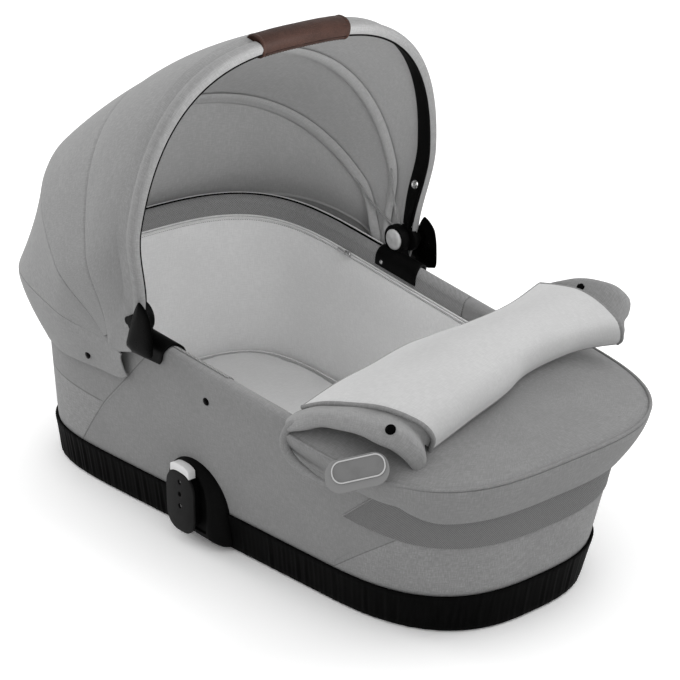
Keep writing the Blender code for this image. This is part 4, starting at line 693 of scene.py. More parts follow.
class PathTrees:
    """Geometry Nodes trees that follow a path: round cords, stitches and zip teeth."""

    def __init__(self) -> None:
        """Build the three trees."""
        self.cord_tree = self.build_cord()
        self.stitch_tree = self.build_repeat("stitch_row", self.stitch)
        self.teeth_tree = self.build_repeat("zip_teeth", self.tooth)

    @staticmethod
    def finish_tree(tree: bpy.types.NodeTree, source: bpy.types.Node, given: bpy.types.Node,
                    smooth: bool) -> bpy.types.NodeTree:
        """End a tree in Realize Instances and Set Material.

        Args:
            tree: The tree.
            source: Node whose geometry is finished.
            given: The tree's input node.
            smooth: Whether faces are shaded smoothly.

        Returns:
            The same tree.
        """
        real = node(tree, "GeometryNodeRealizeInstances", {0: source})
        shade = node(tree, "GeometryNodeSetShadeSmooth", {"Geometry": real, "Shade Smooth": smooth})
        dress = node(tree, "GeometryNodeSetMaterial", {"Geometry": shade, "Material": given.outputs["Material"]})
        node(tree, "NodeGroupOutput", {0: dress})
        return tree

    def build_cord(self) -> bpy.types.NodeTree:
        """Tree of a round cord along a path.

        Returns:
            The tree.
        """
        tree, given = geometry_tree("round_cord", {
            "Radius": "NodeSocketFloat", "Sides": "NodeSocketInt", "Material": "NodeSocketMaterial"})
        path = node(tree, "GeometryNodeMeshToCurve", {0: given.outputs["Geometry"]})
        ring = node(tree, "GeometryNodeCurvePrimitiveCircle", {
            "Resolution": given.outputs["Sides"], "Radius": given.outputs["Radius"]})
        swept = node(tree, "GeometryNodeCurveToMesh", {"Curve": path, "Profile Curve": ring, "Fill Caps": True})
        return self.finish_tree(tree, swept, given, True)

    def stitch(self, tree: bpy.types.NodeTree, given: bpy.types.Node) -> bpy.types.Node:
        """One stitch: a short thread with round ends.

        Args:
            tree: The tree.
            given: The tree's input node.

        Returns:
            The node that gives the shape.
        """
        bead = node(tree, "GeometryNodeMeshUVSphere", {"Segments": 6, "Rings": 4, "Radius": 0.5})
        size = node(tree, "ShaderNodeCombineXYZ", {
            "X": given.outputs["Length"], "Y": given.outputs["Width"], "Z": given.outputs["Width"]})
        return node(tree, "GeometryNodeTransform", {"Geometry": bead, "Scale": size})

    def tooth(self, tree: bpy.types.NodeTree, given: bpy.types.Node) -> bpy.types.Node:
        """One zip tooth: a small block across the tape.

        Args:
            tree: The tree.
            given: The tree's input node.

        Returns:
            The node that gives the shape.
        """
        size = node(tree, "ShaderNodeCombineXYZ", {
            "X": given.outputs["Length"], "Y": given.outputs["Length"], "Z": given.outputs["Width"]})
        return node(tree, "GeometryNodeMeshCube", {"Size": size})

    def build_repeat(self, name: str, shape: Callable) -> bpy.types.NodeTree:
        """Tree that sets one shape at even steps along a path.

        Args:
            name: Name of the tree.
            shape: Method that adds the shape's nodes.

        Returns:
            The tree.
        """
        tree, given = geometry_tree(name, {
            "Pitch": "NodeSocketFloat", "Length": "NodeSocketFloat", "Width": "NodeSocketFloat",
            "Material": "NodeSocketMaterial"})
        path = node(tree, "GeometryNodeMeshToCurve", {0: given.outputs["Geometry"]})
        steps = node(tree, "GeometryNodeResampleCurve", {
            "Curve": path, "Length": given.outputs["Pitch"]}, mode="LENGTH")
        along = node(tree, "GeometryNodeInputTangent")
        turn = node(tree, "FunctionNodeAlignRotationToVector", {"Vector": along}, axis="X")
        spread = node(tree, "GeometryNodeInstanceOnPoints", {
            "Points": steps, "Instance": shape(tree, given), "Rotation": turn})
        return self.finish_tree(tree, spread, given, shape == self.stitch)

    def run(self, name: str, tree: bpy.types.NodeTree, paths: Sequence, closed: bool,
            **values: Any) -> bpy.types.Object:
        """Run a tree over one or more paths and keep the plain mesh.

        Args:
            name: Name of the piece.
            tree: Tree to run.
            paths: Lists of points.
            closed: Whether each path closes into a loop.
            values: Inputs of the tree by name.

        Returns:
            The finished object.
        """
        points: list = []
        edges: list = []
        for path in paths:
            start = len(points)
            points += [tuple(map(float, p)) for p in path]
            edges += [(k, k + 1) for k in range(start, len(points) - 1)]
            if closed:
                edges.append((len(points) - 1, start))
        mesh = bpy.data.meshes.new(name)
        mesh.from_pydata(points, edges, [])
        item = link(name, mesh)
        step = item.modifiers.new("tree", "NODES")
        step.node_group = tree
        for socket in tree.interface.items_tree:
            if socket.in_out == "INPUT" and socket.name in values:
                step[socket.identifier] = values[socket.name]
        return baked(item)

    def cord(self, name: str, path: Sequence, radius: float, finish: str, closed: bool = False,
             sides: int = 10) -> bpy.types.Object:
        """A round cord, welt or rod along a path.

        Args:
            name: Name of the piece.
            path: Points of its middle line.
            radius: Half its thickness.
            finish: Name of its finish.
            closed: Whether the path closes into a loop.
            sides: Points round the cord.

        Returns:
            The finished object.
        """
        item = self.run(name, self.cord_tree, [path], closed, Radius=radius, Sides=sides,
                        Material=FINISH.get(finish))
        return tidy_normals(item, 60.0)

    def stitches(self, name: str, paths: Sequence, finish: str, pitch: float = 3.4 * MM,
                 length: float = 2.6 * MM, width: float = 0.7 * MM, closed: bool = False) -> bpy.types.Object:
        """Rows of stitches along paths."""
        return self.run(name, self.stitch_tree, paths, closed, Pitch=pitch, Length=length, Width=width,
                        Material=FINISH.get(finish))

    def teeth(self, name: str, path: Sequence, finish: str, pitch: float, length: float, width: float,
              closed: bool = False) -> bpy.types.Object:
        """Zip teeth along a path."""
        return self.run(name, self.teeth_tree, [path], closed, Pitch=pitch, Length=length, Width=width,
                        Material=FINISH.get(finish))


PATHS = PathTrees()


def finish_piece(item: bpy.types.Object, nodes: Sequence[str], way: str) -> bpy.types.Object:
    """Hide the CAD nodes a piece stands for and report how it moves.

    Args:
        item: The piece.
        nodes: CAD nodes it replaces.
        way: How it moves, for the log.

    Returns:
        The same piece.
    """
    names = [name for name in nodes if name]
    if names:
        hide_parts(*names)
    log.info("%s %s, %d corners", item.name, way, len(item.data.vertices))
    return item


def settle(item: bpy.types.Object, body: str, slot: str, *nodes: str) -> bpy.types.Object:
    """Make a piece ride on a body and hide the CAD nodes it stands for.

    Args:
        item: The finished piece.
        body: Body it rides on.
        slot: Material slot of the record; not used.
        nodes: CAD nodes it replaces; an empty name stands for none.

    Returns:
        The same piece.
    """
    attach(item, body)
    return finish_piece(item, nodes, f"rides on {body}")


def settle_across(item: bpy.types.Object, first: str, second: str, start: Sequence[float], end: Sequence[float],
                  slot: str, *nodes: str) -> bpy.types.Object:
    """Bake a cloth's placement into its mesh, log the two bodies named for it and hide the CAD nodes it stands for."""
    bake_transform(item)
    return finish_piece(item, nodes, f"bends from {first} to {second}")


def cut_size(grid: np.ndarray, closed: bool = False) -> tuple[float, float]:
    """Width and length of the cloth before it was sewn, along the grid's longest row and column.

    Args:
        grid: Rows by columns by three.
        closed: Whether the columns close into a loop.

    Returns:
        Width and length.
    """
    wrapped = np.concatenate([grid, grid[:, :1]], axis=1) if closed else grid
    width = np.linalg.norm(np.diff(wrapped, axis=1), axis=2).sum(axis=1).max()
    length = np.linalg.norm(np.diff(wrapped, axis=0), axis=2).sum(axis=0).max()
    return float(width), float(length)


def cut_area(grid: np.ndarray, closed: bool = False, skip: Optional[Callable[[int, int], bool]] = None) -> float:
    """Area of the cloth of a grid, from its faces.

    Args:
        grid: Rows by columns by three.
        closed: Whether the columns close into a loop.
        skip: Says whether the face at a row and column is left out.

    Returns:
        Square metres.
    """
    wrapped = np.concatenate([grid, grid[:, :1]], axis=1) if closed else np.asarray(grid)
    a, b, c, d = wrapped[:-1, :-1], wrapped[:-1, 1:], wrapped[1:, 1:], wrapped[1:, :-1]
    area = np.linalg.norm(np.cross(c - a, d - b), axis=2) / 2
    if skip:
        for i in range(area.shape[0]):
            for j in range(area.shape[1]):
                if skip(i, j):
                    area[i, j] = 0.0
    return float(area.sum())


def declare(grid: np.ndarray, closed: bool = False,
            skip: Optional[Callable[[int, int], bool]] = None) -> None:
    """Work out the width, length and area of a cloth's cut; nothing is kept.

    Args:
        grid: Its grid, rows by columns by three.
        closed: Whether the columns close into a loop.
        skip: Says whether the face at a row and column is left out.
    """
    grid = np.asarray(grid, float)
    width, length = cut_size(grid, closed)
    area = min(cut_area(grid, closed, skip), width * length)


# ---------------------------------------------------------------- tub


@dataclass(frozen=True)
class TubShape:
    """Outline of the tub at rim and base; every ring of the wall comes from it."""

    rim_half: float = 0.2200
    rim_narrowing: float = 0.2050
    rim_lengths: tuple[float, float] = (0.4264, 0.4253)
    rim_bends: tuple[float, float] = (0.2100, 0.1797)
    rim_squareness: tuple[float, float] = (3.72, 3.05)
    base_half: float = 0.1893
    base_narrowing: float = 0.4080
    base_lengths: tuple[float, float] = (0.4022, 0.4150)
    base_bends: tuple[float, float] = (0.2030, 0.1755)
    base_squareness: tuple[float, float] = (2.76, 3.51)
    rim_level: float = 0.2636
    rim_fall: float = 0.0819
    roll: float = 0.0100

    def height(self, x: Any) -> Any:
        """Height of the rim at a place along the tub."""
        return self.rim_level - self.rim_fall * x

    @functools.lru_cache(maxsize=32)
    def outline(self, base: bool, count: int) -> np.ndarray:
        """Evenly spaced plan points, from the foot's middle round by the left.

        Args:
            base: True for the base, False for the rim.
            count: How many points.

        Returns:
            Plan points, count by two.
        """
        half, narrowing = (self.base_half, self.base_narrowing) if base else (self.rim_half, self.rim_narrowing)
        lengths = self.base_lengths if base else self.rim_lengths
        bends = self.base_bends if base else self.rim_bends
        powers = self.base_squareness if base else self.rim_squareness
        turn = np.linspace(0, math.pi / 2, 1800)
        ends = [(bend + (length - bend) * np.cos(turn) ** (2 / power), np.sin(turn) ** (2 / power))
                for length, bend, power in zip(lengths, bends, powers)]
        x = np.concatenate([ends[0][0], -ends[1][0][::-1]])
        y = np.concatenate([ends[0][1], ends[1][1][::-1]]) * half * (1 - narrowing * x)
        x = np.concatenate([x, x[-2:0:-1]])
        y = np.concatenate([y, -y[-2:0:-1]])
        x, y = np.append(x, x[0]), np.append(y, y[0])
        along = np.concatenate([[0.0], np.cumsum(np.hypot(np.diff(x), np.diff(y)))])
        want = np.arange(count) / count * along[-1]
        return np.stack([np.interp(want, along, x), np.interp(want, along, y)], 1)

    def ring(self, inset: Any = 0.0, height: Any = None, drop: Any = None, count: int = 288) -> np.ndarray:
        """A loop round the wall at a height or a drop below the rim, pushed inwards.

        Args:
            inset: Distance inwards, square to the loop in plan.
            height: Height above the floor at the rim's full height, or None.
            drop: Drop below the rim, or None.
            count: How many points.

        Returns:
            Points, count by three.
        """
        rim, base = self.outline(False, count), self.outline(True, count)
        top = self.height(rim[:, 0])
        rise = height / top if drop is None else 1 - np.asarray(drop) / top
        rise = np.broadcast_to(rise, (count,))[:, None]
        loop = np.column_stack([base + (rim - base) * rise, top * rise[:, 0]])
        along = np.roll(loop, -1, axis=0) - np.roll(loop, 1, axis=0)
        inward = np.stack([-along[:, 1], along[:, 0]], 1)
        inward /= np.linalg.norm(inward, axis=1)[:, None]
        loop[:, :2] += inward * np.reshape(inset, (-1, 1))
        return loop

    def level(self, share: float, foot: float, drop: float, inset: Any, count: int) -> np.ndarray:
        """A loop at a share of the way up from a level foot to a drop below the rim."""
        top = self.height(self.outline(False, count)[:, 0])
        return self.ring(inset, drop=drop + (top - drop - foot) * (1 - share), count=count)

    def on_wall(self, x: float, side: float, drop: float, outside: float = 0.0) -> Vector:
        """A point on the side wall at a place along the tub and a drop below the rim.

        Args:
            x: Place along the tub.
            side: 1 on the left, -1 on the right.
            drop: Drop below the rim.
            outside: Distance off the wall, outwards.

        Returns:
            The point.
        """
        ring = self.ring(drop=drop, count=768)
        half = ring[ring[:, 1] * side > 0]
        order = half[np.argsort(half[:, 0])]
        y = float(np.interp(x, order[:, 0], order[:, 1]))
        return Vector((x, y + side * outside, self.height(x) - drop))

    def roll_section(self, radius: float, steps: int, first: float, last: float) -> list[tuple[float, float]]:
        """Inset and drop of points on a roll about the rim tube, from outside inwards."""
        turn = np.radians(np.linspace(first, last, steps))
        return [(self.roll + radius * math.cos(a), self.roll - radius * math.sin(a)) for a in turn]


TUB = TubShape()


def share_part(ring: np.ndarray, centre: float, spread: float) -> np.ndarray:
    """The points of a loop within a share of its length on each side of a place.

    Args:
        ring: Points of the loop.
        centre: Share of the loop at the middle.
        spread: Share of the loop on each side.

    Returns:
        The points, in order.
    """
    count = len(ring)
    middle, reach = round(centre * count), round(spread * count)
    return ring[[k % count for k in range(middle - reach, middle + reach + 1)]]


def seam_distance(shares: np.ndarray, rises: np.ndarray, table: Sequence[tuple[float, float]],
                  around: float) -> np.ndarray:
    """Signed distance in millimetres from an upright seam on both sides of the tub.

    Args:
        shares: Ring share of each point, folded so that both sides read alike.
        rises: Rise share of each point.
        table: Pairs of rise and folded share along the seam.
        around: Length round the tub.

    Returns:
        Distances along the ring, positive towards the head.
    """
    rise, share = zip(*table)
    return (shares - np.interp(rises, rise, share)) * around / MM


@dataclass
class Tub:
    """Tub wall rolled over the rim, facing, liner with its zip, window and gathered band."""

    columns: int = 384
    shell_foot: float = 0.0520
    cloth: float = 0.0014
    roll_inner_drop: float = 0.0120
    roll_outer_drop: float = 0.0110
    facing_drop: float = 0.0123
    facing_depth: float = 0.0160
    liner_top: float = 0.0286
    liner_inset: float = 0.0180
    liner_wall: float = 0.0022
    liner_foot: float = 0.0100
    zip_inset: float = 0.0217
    seam_allowance: float = 0.0016
    hood_zip_front: float = -0.1270
    hood_zip_reach: float = 0.2583
    hood_coil_place: tuple[float, float] = (0.0110, -0.0018)
    hood_piping_place: tuple[float, float] = (0.0070, -0.0020)
    head_seam: tuple = ((0.0, 0.379), (0.261, 0.3542), (0.497, 0.3313), (0.683, 0.3094), (1.0, 0.275))
    foot_seam: tuple = ((0.0, 0.162), (0.241, 0.1312), (0.422, 0.1094), (0.558, 0.0927), (1.0, 0.035))
    belt_rise: float = 0.487
    window_top: float = 0.0420
    window_foot: float = 0.0960
    window_spread: float = 0.124
    band_columns: int = 1344
    band_ripple: float = 0.0011
    band_profile: tuple = (
        (0.0012, 0.0052, 0.0), (0.0016, 0.0016, 0.2), (0.0040, -0.0002, 0.6), (0.0120, -0.0008, 1.0),
        (0.0230, -0.0014, 1.0), (0.0340, -0.0022, 0.9), (0.0440, -0.0030, 0.7), (0.0510, -0.0038, 0.5),
        (0.0550, -0.0043, 0.45), (0.0568, -0.0036, 0.4), (0.0572, -0.0020, 0.2), (0.0560, 0.0002, 0.0),
        (0.0480, 0.0010, 0.0),
    )

    def build(self) -> None:
        """Build every piece of the tub."""
        self.build_shell()
        self.build_facing()
        self.build_liner()
        self.build_zips()
        self.build_window()
        self.build_band()

    def build_shell(self) -> None:
        """Outer cloth: side wall, roll over the rim and inner edge."""
        count = self.columns
        levels = [TUB.ring(inset, height=height, count=count)
                  for inset, height in ((0.0014, self.shell_foot), (0.0004, 0.0575))]
        soft = np.random.default_rng(4)
        phase = np.arange(count) / count * 2 * math.pi
        wave = sum(soft.uniform(0.2, 0.5) * np.cos(phase * k + soft.uniform(0, 6)) for k in range(5, 19, 2))
        for share in np.linspace(0.07, 0.98, 18):
            swell = -0.0006 * math.sin(math.pi * share) * (1 + 0.5 * wave)
            levels.append(TUB.level(share, self.shell_foot, self.roll_outer_drop, swell, count))
        levels += [TUB.ring(i, drop=d, count=count) for i, d in TUB.roll_section(0.0100, 15, 180, 0)]
        levels.append(TUB.ring(0.0200, drop=self.roll_inner_drop, count=count))
        grid = np.array(levels)
        shares = np.arange(count) / count
        folded = np.broadcast_to(np.minimum(shares, 1 - shares), grid.shape[:2])
        rises = grid[:, :, 2] / TUB.height(grid[:, :, 0])
        around = float(np.linalg.norm(np.diff(grid[8], axis=0), axis=1).sum())
        head = seam_distance(folded, rises, self.head_seam, around)
        foot = seam_distance(folded, rises, self.foot_seam, around)
        belt = (rises - self.belt_rise) * TUB.height(0.0) / MM
        marks = {
            "head_seam": head, "foot_seam": foot,
            "belt_seam": np.where(head > 0, belt, np.maximum(np.abs(belt), 20.0)),
            "pale_panel": np.where(head > -40, np.minimum(head, -belt), -foot),
        }
        item = surface("tub_outer_cloth", grid, "tub", self.cloth, closed=True, offset=-1.0, marks=marks)
        settle(item, "cot", "tub_cloth", "outer_shell")
        declare(grid, closed=True)
        rows = []
        for table in (self.head_seam, self.foot_seam):
            for side in (1, -1):
                path = []
                for rise in np.linspace(0.24, 0.90, 60):
                    share = np.interp(rise, *zip(*table)) + self.seam_allowance
                    loop = TUB.ring(-0.0004, height=TUB.height(0.0) * rise, count=1440)
                    path.append(loop[int(round(share * side * 1440)) % 1440])
                rows.append(path)
        settle(PATHS.stitches("tub_seam_stitches", rows, "thread"), "cot", "tub_cloth")

    def build_facing(self) -> None:
        """Mesh strip round the head and plain strip elsewhere, below the rolled rim."""
        count = self.columns
        for name, finish, slot, centre, spread, node_name in (
            ("vent_mesh_strip", "mesh", "mesh_cloth", 0.5, 0.279, "vent_mesh"),
            ("rim_facing_strip", "tub", "tub_cloth", 0.0, 0.2205, "rim_facing"),
        ):
            rows = []
            if finish == "mesh":
                for inset, drop in TUB.roll_section(0.0109, 8, 88, 4):
                    rows.append(share_part(TUB.ring(inset, drop=drop, count=count), centre, spread))
            for share in np.linspace(0, 1, 7):
                drop = self.facing_drop - 0.002 + (self.facing_depth + 0.003) * share
                bulge = (0.0206 if finish == "mesh" else 0.0190) + 0.0008 * math.sin(math.pi * share)
                rows.append(share_part(TUB.ring(bulge, drop=drop, count=count), centre, spread))
            grid = np.array(rows[::-1])
            far = np.full(grid.shape[:2], 99.0)
            marks = {} if finish == "mesh" else {
                "head_seam": far, "foot_seam": far, "belt_seam": far, "pale_panel": -far}
            item = surface(name, grid, finish, 0.0010, marks=marks)
            settle(item, "cot", slot, node_name)
            declare(grid)

    def build_liner(self) -> None:
        """Brushed liner from the zip down to the tray."""
        count = self.columns
        soft = np.random.default_rng(11)
        phase = np.arange(count) / count * 2 * math.pi
        wave = sum(soft.uniform(0.3, 1.0) * np.cos(phase * k + soft.uniform(0, 6)) for k in range(4, 15))
        middle = self.liner_inset + self.liner_wall / 2
        rows = []
        for share in np.linspace(0, 1, 26):
            puff = 0.0016 * math.sin(math.pi * min(share * 3.0, 1.0)) - 0.0006 * math.sin(math.pi * share)
            ripple = 0.00035 * wave * math.sin(math.pi * share)
            rows.append(TUB.level(1 - share, self.liner_foot, self.liner_top, middle + puff + ripple, count))
        grid = np.array(rows[::-1])
        item = surface("liner_cloth_wall", grid, "liner", self.liner_wall, closed=True)
        settle(item, "cot", "liner_cloth", "liner")
        declare(grid, closed=True)
        hem = TUB.ring(middle + 0.0021, drop=self.liner_top + 0.0062, count=count)
        settle(PATHS.stitches("liner_hem_stitches", [hem], "thread", closed=True), "cot", "liner_cloth")

    def build_zips(self) -> None:
        """Pale liner zip between two cords, and the black zip that closes the hood."""
        count = self.columns
        for label, drop, inset in (("upper", 0.0, 0.0), ("lower", 0.0034, 0.0006)):
            path = TUB.ring(self.zip_inset - 0.0006 + inset, drop=self.liner_top - 0.0008 + drop, count=count)
            cord = PATHS.cord(f"liner_zip_cord_{label}", path, 0.0013, "liner_cord", closed=True)
            settle(cord, "cot", "liner_cloth", "liner_zip" if label == "upper" else "")
        path = TUB.ring(self.zip_inset - 0.0003, drop=self.liner_top + 0.0009, count=count)
        settle(PATHS.teeth("liner_zip_teeth", path, "grey", 0.0020, 0.0011, 0.0018, closed=True), "cot", "liner_cloth")
        coil, piping = (share_part(TUB.ring(inset, drop=drop, count=count), 0.5, self.hood_zip_reach)
                        for inset, drop in (self.hood_coil_place, self.hood_piping_place))
        path = coil[coil[:, 0] < self.hood_zip_front]
        settle(PATHS.cord("hood_zip_coil", path, 0.0014, "plastic", sides=8), "cot", "black_plastic", "hood_zip")
        settle(PATHS.teeth("hood_zip_teeth", path, "plastic", 0.0022, 0.0012, 0.0032), "cot", "black_plastic")
        path = piping[piping[:, 0] < self.hood_zip_front]
        settle(PATHS.cord("hood_zip_piping", path, 0.0011, "liner_cord", sides=8), "cot", "liner_cloth")

    def build_window(self) -> None:
        """Woven mesh window round the foot, with slanted ends and a bound edge."""
        count = self.columns
        reach = round(self.window_spread * count)
        place = np.arange(count)
        away = np.minimum(place, count - place) / reach
        rows = []
        for share in np.linspace(0.0, 1.0, 9):
            swell = np.clip((1.0 - away) / 0.17, 0.02, 1)
            drop = self.window_top + (self.window_foot - self.window_top) * (1 - (1 - share) * swell)
            drop = drop + 0.008 * ease(1 - away)
            ring = TUB.ring(-0.0015, drop=np.minimum(drop, 0.112), count=count)
            rows.append(share_part(ring, 0.0, self.window_spread))
        grid = np.array(rows[::-1])
        item = surface("foot_window_mesh", grid, "window", 0.0010)
        settle(item, "cot", "mesh_cloth", "foot_window")
        declare(grid)
        lower = grid[0] + (grid[0] - grid[1]) * 0.02
        edge = np.concatenate([lower, grid[1:, -1], grid[-1, ::-1], grid[-1:0:-1, 0]])
        settle(PATHS.cord("foot_window_binding", edge, 0.0009, "binding", closed=True, sides=8), "cot", "tub_cloth")

    def build_band(self) -> None:
        """Gathered nylon band round the base, in fine upright folds of uneven depth."""
        count = self.band_columns
        chance = np.random.default_rng(7)
        along = np.arange(count) / count
        ripple = np.zeros(count)
        for turns in (97, 131, 173, 211, 263):
            ripple += chance.uniform(0.5, 1.0) * np.cos(2 * math.pi * (turns * along + chance.uniform()))
        depth = 0.35 + 0.65 * (0.5 + 0.5 * np.cos(2 * math.pi * (3 * along + 0.2)) *
                               np.cos(2 * math.pi * (7 * along + 0.55))) ** 1.5
        ripple = ripple / 2.4 * depth
        grid = np.array([TUB.ring(inset - self.band_ripple * fold * ripple, height=level, count=count)
                         for level, inset, fold in self.band_profile])
        item = surface("base_band_gathers", grid, "band", 0.0008, closed=True, offset=-1.0)
        settle(item, "cot", "band_cloth", "base_band")
        declare(grid, closed=True)


# ---------------------------------------------------------------- mattress


@dataclass
class Mattress:
    """Foam mattress in a jersey cover, swollen by simulation."""

    foot: float = 0.0118
    height: float = 0.0440
    crown: float = 0.0060
    bulge: float = 0.0060
    inset: float = 0.0255
    voxel: float = 0.0060
    cap: float = 0.0050
    pressure: float = 4.0
    steps: int = 20

    def build(self) -> None:
        """Build the cover, swell it and lay the welt along its top edge."""
        top = self.foot + self.height
        plan = ((self.foot, self.inset + self.bulge), (self.foot + self.height * 0.12, self.inset + 0.001),
                (self.foot + self.height * 0.5, self.inset), (top - self.height * 0.16, self.inset + 0.001),
                (top, self.inset + self.bulge))
        rings = [TUB.ring(i, height=z, count=144) for z, i in plan]
        edge = rings[-1]
        middle = np.array([0.0, 0.0, top])
        spine = middle + (edge - middle) * np.array([0.62, 0.02, 0.0])
        for share in (0.12, 0.3, 0.5, 0.7, 0.87, 0.999):
            ring = edge + (spine - edge) * share
            ring[:, 2] = top + self.crown * math.sin(share * math.pi / 2)
            rings.append(ring)
        item = loft("mattress_cover", rings, "mattress", sharp=80.0)
        self.swell(item)
        tidy_normals(item, 80.0)
        settle(item, "cot", "mattress_cloth", "mattress")
        path = TUB.ring(self.inset + 0.0030, height=top - 0.0012, count=288)
        settle(PATHS.cord("mattress_welt", path, 0.0012, "mattress", closed=True), "cot", "mattress_cloth")

    def swell(self, item: bpy.types.Object) -> None:
        """Inflate the cover a little with a cloth simulation and keep the result.

        Args:
            item: The closed cover.
        """
        remesh = item.modifiers.new("remesh", "REMESH")
        remesh.mode, remesh.voxel_size = "VOXEL", self.voxel
        baked(item)
        before = np.array([v.co[:] for v in item.data.vertices])
        cloth = item.modifiers.new("cloth", "CLOTH")
        cloth.settings.use_pressure = True
        cloth.settings.uniform_pressure_force = self.pressure
        cloth.settings.effector_weights.gravity = 0.0
        cloth.settings.quality = 4
        scene = bpy.context.scene
        for step in range(1, self.steps + 1):
            scene.frame_set(step)
        graph = bpy.context.evaluated_depsgraph_get()
        mesh = bpy.data.meshes.new_from_object(item.evaluated_get(graph))
        after = np.array([v.co[:] for v in mesh.vertices])
        move = after - before
        length = np.linalg.norm(move, axis=1)
        move *= (np.minimum(length, self.cap) / np.maximum(length, 1e-9))[:, None]
        move[before[:, 2] < self.foot + 0.004] *= 0.15
        item.modifiers.clear()
        item.data.vertices.foreach_set("co", (before + move).astype(np.float32).ravel())
        item.data.update()
        scene.frame_set(1)
        item.data.materials.clear()
        item.data.materials.append(FINISH.get("mattress"))
        step = item.modifiers.new("soft", "SUBSURF")
        step.levels = step.render_levels = 1
        baked(item)


# ---------------------------------------------------------------- hood

PIVOT = np.array([-0.1030, 0.0, 0.2935])


@dataclass(frozen=True)
class Rib:
    """A sewn rib of the hood: start and apex in side view, half width and bow."""

    start: tuple[float, float]
    apex: tuple[float, float]
    half: float
    foot: float
    bow: float = 0.0
    squareness: float = 2.95
    tuck: float = 0.36

    @property
    def run(self) -> np.ndarray:
        """Direction from the start to the apex in side view."""
        way = np.array(self.apex) - np.array(self.start)
        return way / np.linalg.norm(way)

    @property
    def ahead(self) -> np.ndarray:
        """Direction square to the rib's plane, towards the foot end."""
        return np.array([self.run[1], 0.0, -self.run[0]])

    def curve(self, turns: np.ndarray, inset: float = 0.0, back: Any = 0.0) -> np.ndarray:
        """Points of the rib from the right foot over the apex to the left foot.

        Args:
            turns: Parameter of each point, from -pi/2 to pi/2.
            inset: Distance towards the inside of the hood.
            back: Distance off the rib's plane towards the head.

        Returns:
            Points, one for each turn.
        """
        reach = float(np.linalg.norm(np.array(self.apex) - np.array(self.start)))
        rise = np.maximum(np.cos(turns), 0.0) ** (2 / self.squareness)
        half = np.abs(np.sin(turns)) ** (2 / self.squareness)
        tuck = (self.half - self.foot) * (1 - ease(rise / self.tuck))
        y = np.sign(turns) * (half * (self.half - inset) - tuck)
        length = rise * (reach - inset)
        off = self.bow * 4 * rise * (1 - rise) - back
        x = self.start[0] + self.run[0] * length + self.run[1] * off
        z = self.start[1] + self.run[1] * length - self.run[0] * off
        return np.stack([x, y, z], 1)

    def turns(self, count: int, stops: Sequence[float] = ()) -> np.ndarray:
        """Turn values that space the rib's points evenly, some moved onto given y.

        Args:
            count: How many points.
            stops: Values of y that a point must meet.

        Returns:
            The turn values.
        """
        fine = np.linspace(-math.pi / 2, math.pi / 2, 4001)
        curve = self.curve(fine)
        along = run_length(curve)
        turns = np.interp(np.linspace(0, along[-1], count), along, fine)
        middle = slice(1200, 2801)
        for stop in stops:
            value = float(np.interp(stop, curve[middle, 1], fine[middle]))
            turns[int(np.argmin(np.abs(turns - value)))] = value
        return turns

    def points(self, count: int, inset: float = 0.0, back: Any = 0.0, stops: Sequence[float] = ()) -> np.ndarray:
        """Evenly spaced points of the rib."""
        return self.curve(self.turns(count, stops), inset, back)


FRONT = Rib((-0.0800, 0.3120), (-0.0300, 0.6430), 0.2600, 0.2410)
MIDDLE = Rib((-0.1500, 0.2590), (-0.2220, 0.5735), 0.2690, 0.2430, bow=0.0180)
REAR = Rib((-0.1600, 0.2540), (-0.3845, 0.4665), 0.2700, 0.2430, bow=0.0125, squareness=2.85)
HEM = Rib((-0.1270, 0.2385), (-0.4500, 0.2770), 0.2670, 0.2400, bow=0.0200, squareness=3.7)


def outward(first: np.ndarray, last: np.ndarray) -> np.ndarray:
    """Unit directions out of the hood between two neighbouring curves.

    Args:
        first: Points of the first curve.
        last: Points of the second curve.

    Returns:
        One direction for each point.
    """
    middle = (first + last) / 2
    normal = np.cross(np.gradient(middle, axis=0), last - first)
    normal /= np.linalg.norm(normal, axis=1)[:, None] + 1e-12
    return normal * np.sign(np.sum(normal * (middle - PIVOT), axis=1))[:, None]


def panel(first: np.ndarray, last: np.ndarray, crown: float, dips: tuple[float, float] = (1.0, 1.0),
          rows: int = 15) -> np.ndarray:
    """Rows between two ribs, crowned outwards, with a small valley at each seam.

    Args:
        first: Points of the first rib.
        last: Points of the last rib.
        crown: How far the panel stands out at its middle.
        dips: Share of the seam valley at the first and last rib.
        rows: Plain rows between the crowded ones at the seams.

    Returns:
        The grid, rows by columns by three.
    """
    span = np.linalg.norm(last - first, axis=1)
    near = np.array([0.0, 1.5, 3.0, 5.0, 8.0, 12.0]) * MM / span.max()
    shares = np.unique(np.concatenate([near, np.linspace(near[-1], 1 - near[-1], rows), 1 - near]))
    normal = outward(first, last)
    grid = []
    for share in shares:
        rise = crown * np.minimum(span / span.max(), 1.0) * 4 * share * (1 - share)
        for edge, dip in ((share, dips[0]), (1 - share, dips[1])):
            rise = rise - dip * 0.0016 * np.exp(-(edge * span.max() / 0.0042) ** 2)
        grid.append(first + (last - first) * share + normal * rise[:, None])
    return np.array(grid)


